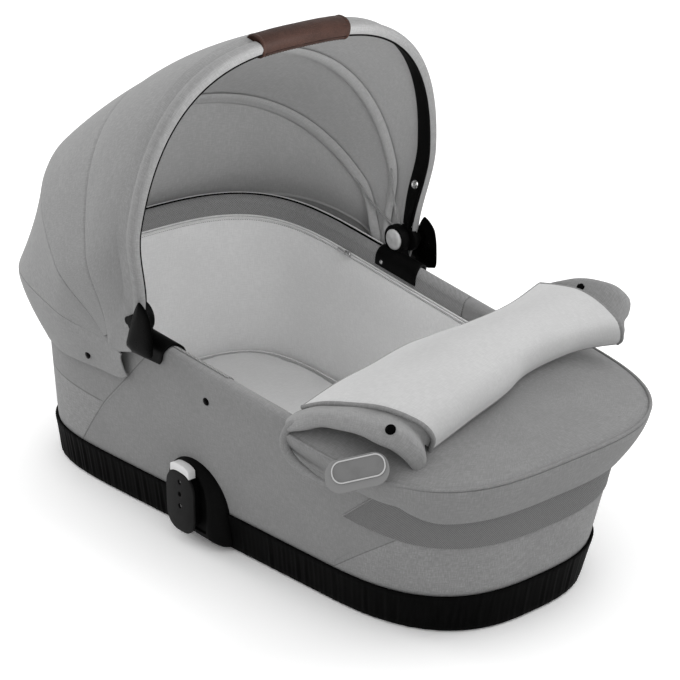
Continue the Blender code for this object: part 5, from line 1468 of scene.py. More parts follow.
@dataclass
class Hood:
    """Canopy in three panels, skirt, bow tunnels, front bow, leather grip and studs."""

    columns: int = 193
    cloth: float = 0.0016
    half_wall: float = 0.0015
    grip_half: float = 0.0715
    grip_stop: float = 0.0725
    bow_width: float = 0.0260
    bow_thickness: float = 0.0090
    bow_front: float = 0.0035
    bow_inset: float = 0.0036
    skirt_line: tuple[float, float] = (0.2458, 0.1215)
    skirt_depths: tuple = ((0.124, 0.136, 0.152, 0.185, 0.277, 0.430), (0.042, 0.052, 0.0558, 0.0595, 0.0765, 0.0800))
    crowns: tuple[float, float, float] = (0.0060, 0.0035, -0.0060)
    skirt_fall: float = 0.0930
    tunnel_half: float = 0.0115
    grip_wide: float = 0.01675
    grip_tall: float = 0.0145
    foot_columns: int = 7
    foot_targets: tuple = ((-0.1010, 0.2385, 0.2500), (-0.1540, 0.2370, 0.2330))
    roll: tuple = (
        (0.0118, 0.0028), (0.0096, 0.0014), (0.0076, 0.0006), (0.0058, 0.0005), (0.0040, 0.0010), (0.0025, 0.0021),
        (0.0013, 0.0038), (0.0007, 0.0058), (0.0003, 0.0090), (0.0001, 0.0130), (0.0003, 0.0170), (0.0009, 0.0205),
        (0.0018, 0.0233), (0.0026, 0.0256), (0.0028, 0.0275), (0.0024, 0.0298), (0.0018, 0.0345),
    )
    stud_rise: float = 0.0950
    stud_profile: tuple = (
        (0.0050, -0.0004), (0.0062, 0.0002), (0.0063, 0.0010), (0.0056, 0.0019), (0.0046, 0.0020),
        (0.0038, 0.0013), (0.0030, 0.0010), (0.0026, 0.0018), (0.0014, 0.0022), (0.0002, 0.0023),
    )

    def build(self) -> None:
        """Build every piece of the hood."""
        self.build_front()
        self.build_middle()
        self.build_rear()
        self.build_skirt()
        self.build_tunnels()
        self.build_bow()
        self.build_grip()
        self.build_studs()

    def seams(self) -> tuple[np.ndarray, np.ndarray, np.ndarray]:
        """Points of the middle, rear and hem seams."""
        return tuple(rib.points(self.columns, inset=self.half_wall) for rib in (MIDDLE, REAR, HEM))

    @staticmethod
    def across(first: Rib, second: Rib, trim: float = 0.0) -> tuple[tuple, tuple]:
        """Two points from one rib's apex across towards another's, square to their mean direction from the pivot.

        Args:
            first: Rib whose apex is the start.
            second: Rib whose apex sets the end.
            trim: How far before the second rib the end stops.

        Returns:
            The two points.
        """
        a, b = np.array([first.apex[0], 0, first.apex[1]]), np.array([second.apex[0], 0, second.apex[1]])
        along = (a - PIVOT) / np.linalg.norm(a - PIVOT) + (b - PIVOT) / np.linalg.norm(b - PIVOT)
        way = np.array([along[2], 0.0, -along[0]]) / np.linalg.norm(along)
        reach = float(np.dot(b - a, way))
        return tuple(a), tuple(a + way * (reach - math.copysign(trim, reach)))

    def build_front(self) -> None:
        """Front panel: rolled round the bow, then on to the middle seam."""
        stops = (-self.grip_stop, self.grip_stop)
        turns = FRONT.turns(self.columns, stops)
        middle = MIDDLE.curve(MIDDLE.turns(self.columns), self.half_wall)
        slim = 0.5 + 0.25 * np.maximum(np.cos(turns), 0.0) ** (2 / FRONT.squareness)
        roll = [FRONT.curve(turns, inset + 0.0006, back * slim) for inset, back in self.roll[:-1]]
        roll.append(FRONT.curve(turns, self.roll[-1][0] + 0.0006, self.roll[-1][1]))
        rest = panel(roll[-1], middle, self.crowns[0], (0.0, 1.0))
        count = len(rest)
        along = run_length(middle)
        away = np.minimum(along, along[-1] - along)
        weight = np.interp(away, [0.0, 0.027, 0.054], [1.0, 0.4, 0.0])
        for k, row in enumerate(rest):
            share = k / (count - 1)
            row[:, 2] -= 0.0180 * np.interp(share, [0, 0.25, 0.5, 0.75, 1.0], [0, 0, 0.75, 1.0, 0.0]) * weight
        grid = np.concatenate([np.array(roll), rest[1:]])
        grid = self.with_feet(grid, len(roll) - 1)
        opening = len(roll) - 1
        level = (grid[2][:-1, 1] + grid[2][1:, 1]) / 2

        def at_grip(row: int, column: int) -> bool:
            """Whether a face lies under the grip."""
            return row < opening and abs(level[column]) < self.grip_stop

        item = surface("canopy_front_cloth", grid, "canopy", self.cloth, skip=at_grip, inside="inside")
        start, end = self.across(MIDDLE, FRONT, 0.036)
        settle_across(item, "mid_hood", "front_hood", start, end, "canopy_cloth", "canopy_front")
        declare(grid, skip=at_grip)
        bead = PATHS.cord("front_bow_inner_edge", FRONT.curve(turns, 0.0139, 0.0021)[2:-2], 0.0015, "plastic", sides=8)
        settle(bead, "front_hood", "black_plastic")

    def with_feet(self, grid: np.ndarray, first: int) -> np.ndarray:
        """Carry each row on down, behind the hinge covers, to the hem seam.

        Args:
            grid: Rows by columns by three, from the right foot to the left foot.
            first: Row at which the plain cloth starts.

        Returns:
            The grid with the foot columns at both ends.
        """
        share = np.clip((np.arange(len(grid)) - first) / (len(grid) - 1 - first), 0.0, 1.0)[:, None]
        front, back = (np.array(p) for p in self.foot_targets)
        ends = []
        for column, side in ((grid[:, 0], -1.0), (grid[:, -1], 1.0)):
            target = (front + (back - front) * share) * np.array([1.0, side, 1.0])
            steps = np.linspace(0, 1, self.foot_columns + 1)[1:]
            ends.append([column + (target - column) * step for step in steps])
        return np.concatenate([np.array(ends[0][::-1]).transpose(1, 0, 2), grid,
                               np.array(ends[1]).transpose(1, 0, 2)], axis=1)

    def build_middle(self) -> None:
        """Middle panel, between the two seams over the thin bows."""
        middle, rear, _ = self.seams()
        grid = panel(middle, rear, self.crowns[1])
        item = surface("canopy_middle_cloth", grid, "canopy", self.cloth, inside="inside")
        start, end = self.across(REAR, MIDDLE)
        settle_across(item, "rear_hood", "mid_hood", start, end, "canopy_cloth", "canopy_mid")
        declare(grid)

    def build_rear(self) -> None:
        """Rear panel, from the rear seam down to the hem seam."""
        _, rear, hem = self.seams()
        grid = panel(rear, hem, self.crowns[2], rows=21)
        item = surface("canopy_rear_cloth", grid, "canopy", self.cloth, inside="inside")
        start, end = self.across(HEM, REAR)
        settle_across(item, "cot", "rear_hood", start, end, "canopy_cloth", "canopy_rear")
        declare(grid)

    def skirt_grid(self) -> np.ndarray:
        """Grid of the skirt from the hem seam down over the tub.

        Returns:
            Rows by columns by three.
        """
        hem = HEM.points(self.columns, inset=self.half_wall)
        rim = TUB.ring(0.0, drop=0.0, count=1152)
        outer = TUB.ring(-0.0050 - self.half_wall, drop=self.skirt_fall * 0.8, count=1152)
        lower = []
        for point in hem:
            depth = float(np.interp(-point[0], *self.skirt_depths))
            k = int(np.argmin(np.hypot(rim[:, 0] - point[0], rim[:, 1] - point[1])))
            below = outer[k].copy()
            below[2] = self.skirt_line[0] - self.skirt_line[1] * (point[0] - HEM.start[0]) - depth
            lower.append(below)
        lower = np.array(lower)
        for _ in range(3):
            lower[1:-1] = (lower[:-2] + lower[1:-1] * 2 + lower[2:]) / 4
        grid = []
        for share in np.unique(np.concatenate([[0, 0.02, 0.05, 0.09], np.linspace(0.15, 1, 9)])):
            bend = share ** 1.3
            row = hem + (lower - hem) * np.array([bend, bend, share])
            normal = row * np.array([1.0, 1.0, 0.0])
            normal /= np.linalg.norm(normal, axis=1)[:, None]
            dip = -0.0012 * math.exp(-(share / 0.06) ** 2) + 0.0012 * math.sin(math.pi * share)
            grid.append(row + normal * dip)
        return np.array(grid)

    def build_skirt(self) -> None:
        """Skirt below the hem seam, with its hem line and two snaps."""
        grid = self.skirt_grid()
        item = surface("canopy_skirt_cloth", grid[::-1], "canopy", self.cloth)
        settle(item, "cot", "canopy_cloth", "canopy_skirt")
        declare(grid)
        rim = np.concatenate([grid[:, 0], grid[-1, 1:], grid[-2::-1, -1]])
        settle(PATHS.cord("canopy_skirt_hem", rim, 0.0011, "binding", sides=8), "cot", "canopy_cloth")
        for label, side in SIDES.items():
            low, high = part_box(f"skirt_snap_{label}")
            centre = (low + high) / 2
            face = grid.reshape(-1, 3)
            face = face[face[:, 1] * side > 0]
            place = face[np.argmin(np.hypot(face[:, 0] - centre[0], face[:, 2] - centre[2]))]
            snap(f"skirt_snap_cap_{label}", place + np.array([-0.0002, side * 0.0014, 0.0]), (-0.12, side, -0.05),
                 f"skirt_snap_{label}", "cot", 0.0058)

    def build_tunnels(self) -> None:
        """Cloth tunnels under the two seams that hold the thin bows."""
        front = FRONT.points(self.columns, inset=0.0018, back=0.0345)
        middle, rear, hem = self.seams()
        for label, body, before, seam, after in (
            ("middle", "mid_hood", front, middle, rear), ("rear", "rear_hood", middle, rear, hem),
        ):
            rows = []
            normal = outward(before, seam) + outward(seam, after)
            normal /= np.linalg.norm(normal, axis=1)[:, None]
            for width in np.linspace(-self.tunnel_half, self.tunnel_half, 13):
                other = before if width < 0 else after
                span = np.linalg.norm(other - seam, axis=1)
                share = np.minimum(abs(width) / np.maximum(span, 1e-6), 0.46)
                depth = 0.0024 + 0.0060 * math.cos(math.pi / 2 * width / self.tunnel_half) ** 0.8
                rows.append(seam + (other - seam) * share[:, None] - normal * depth)
            grid = np.array(rows)
            item = surface(f"bow_tunnel_{label}", grid, "tunnel", 0.0008)
            settle(item, body, "canopy_cloth")
            declare(grid)

    def bow_sections(self, count: int) -> np.ndarray:
        """Rounded sections of the flat front bow along the front rib.

        Args:
            count: How many sections.

        Returns:
            Sections by points by three.
        """
        turns = FRONT.turns(count)
        middle_back = self.bow_front + self.bow_width / 2
        outer = FRONT.curve(turns, self.bow_inset, middle_back)
        inner = FRONT.curve(turns, self.bow_inset + self.bow_thickness, middle_back)
        rise = (outer[:, 2] - FRONT.start[1]) / (FRONT.apex[1] - FRONT.start[1])
        wide = (0.5 + 0.5 * ease(rise / 0.2)) * self.bow_width / 2
        sections = []
        for o, i, w in zip(outer, inner, wide):
            centre, up = (o + i) / 2, (o - i) / 2
            sections.append([centre + FRONT.ahead * w * a + up * b
                             for a, b in (squared(t, 0.28, 0.45) for t in even_turns(24))])
        return np.array(sections)

    def build_bow(self) -> None:
        """Flat front bow, moulded with rounded edges."""
        item = loft("front_bow_arch", self.bow_sections(161), "plastic", sharp=50.0)
        settle(item, "front_hood", "black_plastic", "front_bow")

    def build_grip(self) -> None:
        """Leather sleeve round the middle of the bow, with rolled ends and a stitched seam."""
        fine = np.linspace(-1.2, 1.2, 6000)
        line = FRONT.curve(fine, self.bow_inset + self.bow_thickness / 2, self.bow_front + self.bow_width / 2)
        half = self.grip_half
        end = -half + np.array([0.0015, 0.0003, 0.0, 0.0006, 0.002, 0.004, 0.0055, 0.007, 0.009])
        want = np.concatenate([end, np.linspace(-half + 0.012, half - 0.012, 49), -end[::-1]])
        swell = np.array([0.84, 0.90, 0.96, 1.01, 1.05, 1.035, 0.985, 0.995, 1.0])
        scale = np.concatenate([swell, np.ones(49), swell[::-1]])
        path = np.stack([np.interp(want, line[:, 1], line[:, axis]) for axis in range(3)], 1)
        smooth = np.stack([np.interp(np.linspace(-half, half, 200), line[:, 1], line[:, a]) for a in range(3)], 1)
        along = np.gradient(smooth, axis=0)
        along = np.stack([np.interp(want, np.linspace(-half, half, 200), along[:, a]) for a in range(3)], 1)
        along /= np.linalg.norm(along, axis=1)[:, None]
        up = np.cross(FRONT.ahead, along)
        up *= np.sign(up[:, 2])[:, None]

        def skin(t: float, lift: np.ndarray) -> np.ndarray:
            """Step from the middle of the grip to its skin at an angle."""
            a, b = squared(t, 0.86, 0.86)
            return FRONT.ahead * self.grip_wide * a + lift * self.grip_tall * b

        rings = []
        stitch_rows: list[list] = [[], []]
        for point, lift, size, place in zip(path, up, scale, want):
            ring = []
            for t in (np.arange(56) + 0.5) * 2 * math.pi / 56:
                crease = 1 - 0.006 * math.exp(-((t - 5.45) / 0.09) ** 2) * (size > 0.99)
                soft = 1 + 0.004 * math.sin(place * 190 + 2.2 * t) * math.sin(place * 71 + t)
                ring.append(point + skin(t, lift) * size * crease * soft)
            rings.append(ring)
            for row, t in enumerate((5.33, 5.57)):
                if abs(place) < half - 0.007:
                    stitch_rows[row].append(point + skin(t, lift) * 1.012)
        item = loft("grip_leather_sleeve", rings, "leather", sharp=70.0)
        settle(item, "front_hood", "leather", "hood_grip")
        thread = PATHS.stitches("grip_stitches", stitch_rows, "leather_thread", 0.0046, 0.0036, 0.0010)
        settle(thread, "front_hood", "leather")

    def build_studs(self) -> None:
        """Ring studs on the inside of the bow."""
        line = FRONT.points(41, self.bow_inset + self.bow_thickness, self.bow_front + self.bow_width / 2)
        for label, side in SIDES.items():
            half = line[20:] if side > 0 else line[20::-1]
            index = int(np.argmin(np.abs(half[:-1, 2] - PIVOT[2] - self.stud_rise)))
            point = (half[index] + half[index + 1]) / 2
            along = half[index + 1] - half[index]
            inward = np.cross(along / np.linalg.norm(along), FRONT.ahead)
            inward *= -side * np.sign(inward[1])
            stud = lathe(f"bow_ring_stud_{label}", self.stud_profile, point, inward, "nickel")
            settle(stud, "front_hood", "steel", f"bow_stud_{label}")


def snap(name: str, place: Sequence[float], out: Sequence[float], node_name: str, body: str,
         radius: float = 0.0048) -> bpy.types.Object:
    """A press stud: low dome in a thin ring, standing on cloth.

    Args:
        name: Name of the piece.
        place: Middle of the snap.
        out: Direction it faces.
        node_name: CAD node it replaces, or an empty name.
        body: Body it rides on.
        radius: Radius of the cap.

    Returns:
        The finished snap.
    """
    item = lathe(name, [
        (radius * 1.08, -0.0016), (radius * 1.12, -0.0006), (radius * 1.06, 0.0001), (radius * 0.90, 0.0003),
        (radius * 0.84, 0.0000), (radius * 0.78, 0.0006), (radius * 0.55, 0.0011), (radius * 0.28, 0.0013),
        (radius * 0.02, 0.0013),
    ], place, out, "gloss")
    return settle(item, body, "gloss_black", node_name)


# ---------------------------------------------------------------- hinge and hard parts


def moulded_copy(node_name: str, name: str, finish: str, edge: float, sharp: float = 35.0) -> bpy.types.Object:
    """Copy a hard CAD part, merge its flats and round its edges.

    Args:
        node_name: CAD node to copy.
        name: Name of the piece.
        finish: Name of its finish.
        edge: Radius of the rounded edges.
        sharp: Angle above which an edge is rounded.

    Returns:
        The finished copy.
    """
    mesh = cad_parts[node_name].data.copy()
    mesh.materials.clear()
    mesh.materials.append(FINISH.get(finish))
    form = bmesh.new()
    form.from_mesh(mesh)
    bmesh.ops.remove_doubles(form, verts=form.verts, dist=2e-6)
    bmesh.ops.dissolve_limit(form, angle_limit=math.radians(1.0), verts=form.verts, edges=form.edges)
    form.to_mesh(mesh)
    form.free()
    for polygon in mesh.polygons:
        polygon.material_index = 0
    item = link(name, mesh)
    if edge:
        step = item.modifiers.new("edge", "BEVEL")
        step.width, step.segments, step.limit_method = edge, 2, "ANGLE"
        step.angle_limit, step.use_clamp_overlap = math.radians(sharp), True
        baked(item)
    return shaded(item, 38.0)


@dataclass
class Hinge:
    """Saddle over the rim with its boss and button, and the leaf-shaped cover."""

    saddle_rear: float = -0.1270
    saddle_front: float = -0.0450
    wall: float = 0.0030
    cover_x: float = -0.0740
    cover_width: float = 0.0560
    cover_height: float = 0.0760
    cover_foot: float = 0.2530
    cover_face: float = 0.2422
    cover_thickness: float = 0.0050
    boss_face: float = 0.2125
    button_sink: float = 0.0020
    neck_middle: float = 0.2195
    neck_half: float = 0.0068
    hub_shift: float = 0.0130
    hub_back: float = 0.2270
    rivet_place: tuple[float, float] = (-0.1135, 0.0130)
    rivet_profile: tuple = ((0.0030, -0.0014), (0.0033, 0.0), (0.0027, 0.0009), (0.0015, 0.0013), (0.0002, 0.0014))
    boss_profile: tuple = (
        (0.0180, -0.0135), (0.0200, -0.0125), (0.0205, -0.0110), (0.0205, -0.0012), (0.0196, 0.0),
        (0.0166, 0.0), (0.0158, -0.0010), (0.0156, -0.0060), (0.0010, -0.0062),
    )
    button_profile: tuple = (
        (0.0148, -0.0030), (0.0150, -0.0016), (0.0146, -0.0006), (0.0134, 0.0002), (0.0110, 0.0007),
        (0.0080, 0.0010), (0.0040, 0.0012), (0.0003, 0.00125),
    )
    hub_profile: tuple = (
        (0.0140, 0.0), (0.0160, 0.0006), (0.0165, 0.0020), (0.0165, 0.0070), (0.0120, 0.0100), (0.0115, 0.0160),
        (0.0100, 0.0162),
    )
    neck_levels: tuple = ((0.2660, 0.0190), (0.2700, 0.0190), (0.2750, 0.0165), (0.2840, 0.0150))
    leaf_steps: tuple = (
        (0.0, 0.985), (0.08, 1.0), (0.30, 1.0), (0.45, 0.975), (0.62, 0.92), (0.78, 0.80), (0.90, 0.62),
        (0.97, 0.40), (1.0, 0.12),
    )
    leaf: tuple = (
        (0.000, -1.12, 0.80), (0.055, -1.157, 0.93), (0.265, -0.94, 0.957), (0.520, -0.68, 0.93),
        (0.610, -0.585, 0.904), (0.790, -0.35, 0.796), (0.820, -0.307, 0.76), (0.930, -0.13, 0.443),
        (1.000, 0.02, 0.06),
    )

    def build(self) -> None:
        """Build both hinges."""
        for label, side in SIDES.items():
            self.build_saddle(label, side)
            self.build_button(label, side)
            self.build_cover(label, side)
            foot = moulded_copy(f"bow_foot_{label}", f"bow_foot_arm_{label}", "plastic", 0.0008)
            settle(foot, "front_hood", "black_plastic", f"bow_foot_{label}")

    def build_saddle(self, label: str, side: float) -> None:
        """Cap over the rolled rim, hollowed towards the foot end, with the round boss.

        Args:
            label: Left or right, as in the node names.
            side: 1 on the left, -1 on the right.
        """
        reach, centre = TUB.roll + 0.0009, TUB.roll
        outer = reach + self.wall
        section = [(centre - outer, d) for d in (0.0290, 0.0250, 0.0200, 0.0150)]
        section += [(centre + outer * math.cos(a), centre - outer * math.sin(a))
                    for a in np.radians(np.linspace(180, 0, 15))]
        section += [(centre + outer, d) for d in (0.0130, 0.0165, 0.0200)]
        grid = []
        for k, (inset, drop) in enumerate(section):
            share = k / (len(section) - 1)
            last = self.saddle_front - 0.014 * max(1 - share / 0.45, 0.0) ** 1.6 + 0.005 * ease((share - 0.45) / 0.3)
            low = ease((0.12 - share) / 0.12)
            row = []
            for x in np.linspace(self.saddle_rear + 0.004 * low, last, 15):
                slope = (x - self.saddle_rear) / (self.saddle_front - self.saddle_rear)
                fall = drop + (0.0035 - 0.0075 * slope) * low
                row.append(tuple(TUB.on_wall(x, side, fall, -inset)))
            grid.append(row)
        cap = surface(f"cap_{label}", np.array(grid), "plastic", self.wall, offset=0.0)
        step = cap.modifiers.new("edge", "BEVEL")
        step.width, step.segments, step.limit_method, step.angle_limit = 0.0007, 2, "ANGLE", math.radians(50)
        baked(cap)
        out = (0.0, -side, 0.0)
        centre_out = (PIVOT[0], side * self.boss_face, PIVOT[2])
        boss = lathe(f"boss_{label}", self.boss_profile, centre_out, out, "plastic", count=64)
        corners = ((-1, -1), (-0.9, -1), (0.9, -1), (1, -1), (1, 0.9), (0.9, 1), (-0.9, 1), (-1, 0.9))
        rings = [[(PIVOT[0] + long * c, side * (self.neck_middle + self.neck_half * s), level) for c, s in corners]
                 for level, long in self.neck_levels]
        neck = loft(f"neck_{label}", rings, "plastic")
        item = joined(f"rim_saddle_{label}", [cap, boss, neck], 38.0)
        settle(item, "cot", "black_plastic", f"hinge_saddle_{label}")
        x, drop = self.rivet_place
        seat = TUB.on_wall(x, side, drop, -(centre + outer + 0.0012))
        rivet = lathe(f"saddle_rivet_{label}", self.rivet_profile, seat, out, "nickel", count=20)
        settle(rivet, "cot", "steel")

    def build_button(self, label: str, side: float) -> None:
        """Domed release button in the boss.

        Args:
            label: Left or right, as in the node names.
            side: 1 on the left, -1 on the right.
        """
        face = self.boss_face - self.button_sink
        item = lathe(f"release_button_cap_{label}", self.button_profile, (PIVOT[0], side * face, PIVOT[2]),
                     (0.0, -side, 0.0), "grey", count=56, sharp=50.0)
        settle(item, f"{label}_button", "grey_plastic", f"hood_button_{label}")

    def build_cover(self, label: str, side: float) -> None:
        """Leaf-shaped polished cover, domed towards its edges.

        Args:
            label: Left or right, as in the node names.
            side: 1 on the left, -1 on the right.
        """
        heights, lefts, rights = (np.array(v) for v in zip(*self.leaf))
        fine = np.linspace(0, 1, 25) ** 0.8
        right, left = (np.stack([np.interp(fine, heights, edge), fine], 1) for edge in (rights, lefts))
        smooth = np.concatenate([right, left[::-1]])
        for _ in range(2):
            smooth = (np.roll(smooth, 1, 0) + smooth * 4 + np.roll(smooth, -1, 0)) / 6
        edge = np.stack([self.cover_x + self.cover_width / 2 * smooth[:, 0],
                         self.cover_foot + self.cover_height * smooth[:, 1]], 1)
        middle = np.array([self.cover_x, self.cover_foot + self.cover_height * 0.40])
        rings = [[(x, side * (self.cover_face + self.cover_thickness * out), z)
                  for x, z in middle + (edge - middle) * share] for out, share in self.leaf_steps]
        leaf = loft(f"leaf_{label}", rings, "gloss", sharp=60.0)
        hub = lathe(f"hub_{label}", self.hub_profile, (PIVOT[0] + self.hub_shift, side * self.hub_back, PIVOT[2]),
                    (0.0, side, 0.0), "plastic", count=48)
        item = joined(f"hinge_leaf_{label}", [leaf, hub], 50.0)
        settle(item, "front_hood", "gloss_black", f"hinge_cover_{label}")


@dataclass
class Adapter:
    """Arched housing on the base, slotted plate, release tab and screws."""

    x: float = -0.0195
    width: float = 0.1200
    face_width: float = 0.0870
    foot: float = 0.0060
    top: float = 0.1180
    face_foot: float = 0.0200
    face_top: float = 0.1120
    back_foot: float = 0.1900
    back_top: float = 0.1980
    face: float = 0.2155
    plate_width: float = 0.0590
    plate_foot: float = 0.0190
    plate_top: float = 0.1045
    plate_face: float = 0.2285
    plate_thickness: float = 0.0040
    hole_radius: float = 0.0036
    hole_pitch: float = 0.0172
    hole_top: float = 0.0140
    neck_width: float = 0.0400
    neck_margin: float = 0.0045
    arch_steps: tuple = (0.0, 0.12, 0.25, 0.4, 0.55, 0.68, 0.8, 0.88, 0.94)
    face_steps: tuple = ((0.985, 0.0004), (0.96, 0.0), (0.90, 0.0), (0.885, 0.0006), (0.875, 0.0024), (0.5, 0.0026))

    def build(self) -> None:
        """Build both adapters."""
        for label, side in SIDES.items():
            self.build_housing(label, side)
            self.build_plate(label, side)
            tab = moulded_copy(f"release_tab_{label}", f"release_tab_cap_{label}", "pale", 0.0006)
            settle(tab, f"{label}_tab", "pale_plastic", f"release_tab_{label}")
            for place in ("upper", "lower"):
                name = f"adapter_screw_{place}_{label}"
                screw = moulded_copy(name, f"{name}_head", "steel", 0.0003)
                settle(screw, "cot", "steel", name)

    def arch(self, share: float, side: float) -> list[tuple[float, float, float]]:
        """One loop of the housing between its back and its face.

        Args:
            share: Share of the way from the back to the face.
            side: 1 on the left, -1 on the right.

        Returns:
            The loop's points.
        """
        ease_out = share ** 2
        half = (self.width + (self.face_width - self.width) * ease_out) / 2
        foot = self.foot + (self.face_foot - self.foot) * ease_out
        top = self.top + (self.face_top - self.top) * ease_out
        loop = [(half, foot + 0.004), (half - 0.0012, foot + 0.0012), (half - 0.004, foot)]
        loop += [(-half + 0.004, foot), (-half + 0.0012, foot + 0.0012), (-half, foot + 0.004)]
        loop += [(half * math.cos(a), top - half + half * math.sin(a)) for a in np.linspace(math.pi, 0, 49)]
        lean = (self.back_top - self.back_foot) / (self.top - self.foot)
        ring = []
        for x, z in loop:
            back = self.back_foot + lean * (z - self.foot)
            ring.append((self.x + x, side * (back + (self.face - back) * min(share, 1.0)), z))
        return ring

    def build_housing(self, label: str, side: float) -> None:
        """Domed arch with a rounded rim and a recessed face.

        Args:
            label: Left or right, as in the node names.
            side: 1 on the left, -1 on the right.
        """
        rings = [self.arch(s, side) for s in self.arch_steps]
        face = np.array(self.arch(1.0, side))
        centre = np.array([self.x, side * self.face, (self.face_foot + self.face_top) / 2])
        for scale, deep in self.face_steps:
            ring = centre + (face - centre) * np.array([scale, 1.0, scale])
            ring[:, 1] = side * (self.face - deep)
            rings.append(ring.tolist())
        item = loft(f"adapter_arch_{label}", rings, "plastic", sharp=40.0)
        settle(item, "cot", "black_plastic", f"adapter_housing_{label}")

    def plate_loop(self, width: float, foot: float, top: float, count: int = 25) -> np.ndarray:
        """Outline of the plate with rounded ends, as (x, z) pairs.

        Args:
            width: Width of the plate.
            foot: Its lowest level.
            top: Its highest level.
            count: Points on each end.

        Returns:
            The outline's points.
        """
        half, power = width / 2, 2 / 2.6
        ends = [squared(turn, power, power) for turn in np.linspace(0, math.pi, count)]
        return np.array([(half * a, top - half + half * b) for a, b in ends]
                        + [(-half * a, foot + half - half * b) for a, b in ends])

    def build_plate(self, label: str, side: float) -> None:
        """Plate on its neck, with three holes and rounded edges.

        Args:
            label: Left or right, as in the node names.
            side: 1 on the left, -1 on the right.
        """
        outer = self.plate_loop(self.plate_width, self.plate_foot, self.plate_top)
        centre = np.array([0.0, (self.plate_foot + self.plate_top) / 2])
        back, face = self.plate_face - self.plate_thickness, self.plate_face
        rings = []
        for y, scale in ((back, 0.97), (back + 0.0004, 0.99), (back + 0.001, 1.0), (face - 0.0012, 1.0),
                         (face - 0.0004, 0.988), (face, 0.965)):
            loop = centre + (outer - centre) * scale
            rings.append([(self.x + x, side * y, z) for x, z in loop])
        plate = loft(f"plate_{label}", rings, "plate")
        for k in range(3):
            z = self.plate_top - self.hole_top - k * self.hole_pitch
            cutter = lathe("hole", [(self.hole_radius, -0.006), (self.hole_radius, 0.006)],
                           (self.x, side * self.plate_face, z), (0, side, 0), "plate", count=28)
            step = plate.modifiers.new("hole", "BOOLEAN")
            step.solver, step.operation, step.object = "EXACT", "DIFFERENCE", cutter
            baked(plate)
            bpy.data.objects.remove(cutter, do_unlink=True)
        margin = self.neck_margin
        inner = self.plate_loop(self.neck_width, self.plate_foot + margin, self.plate_top - margin)
        neck = loft(f"neck_{label}", [
            [(self.x + x, side * y, z) for x, z in inner] for y in (self.face - 0.0030, back + 0.0008)], "plastic")
        item = joined(f"adapter_slot_plate_{label}", [plate, neck], 35.0)
        settle(item, "cot", "black_plastic", f"adapter_plate_{label}")


# ---------------------------------------------------------------- apron and flap


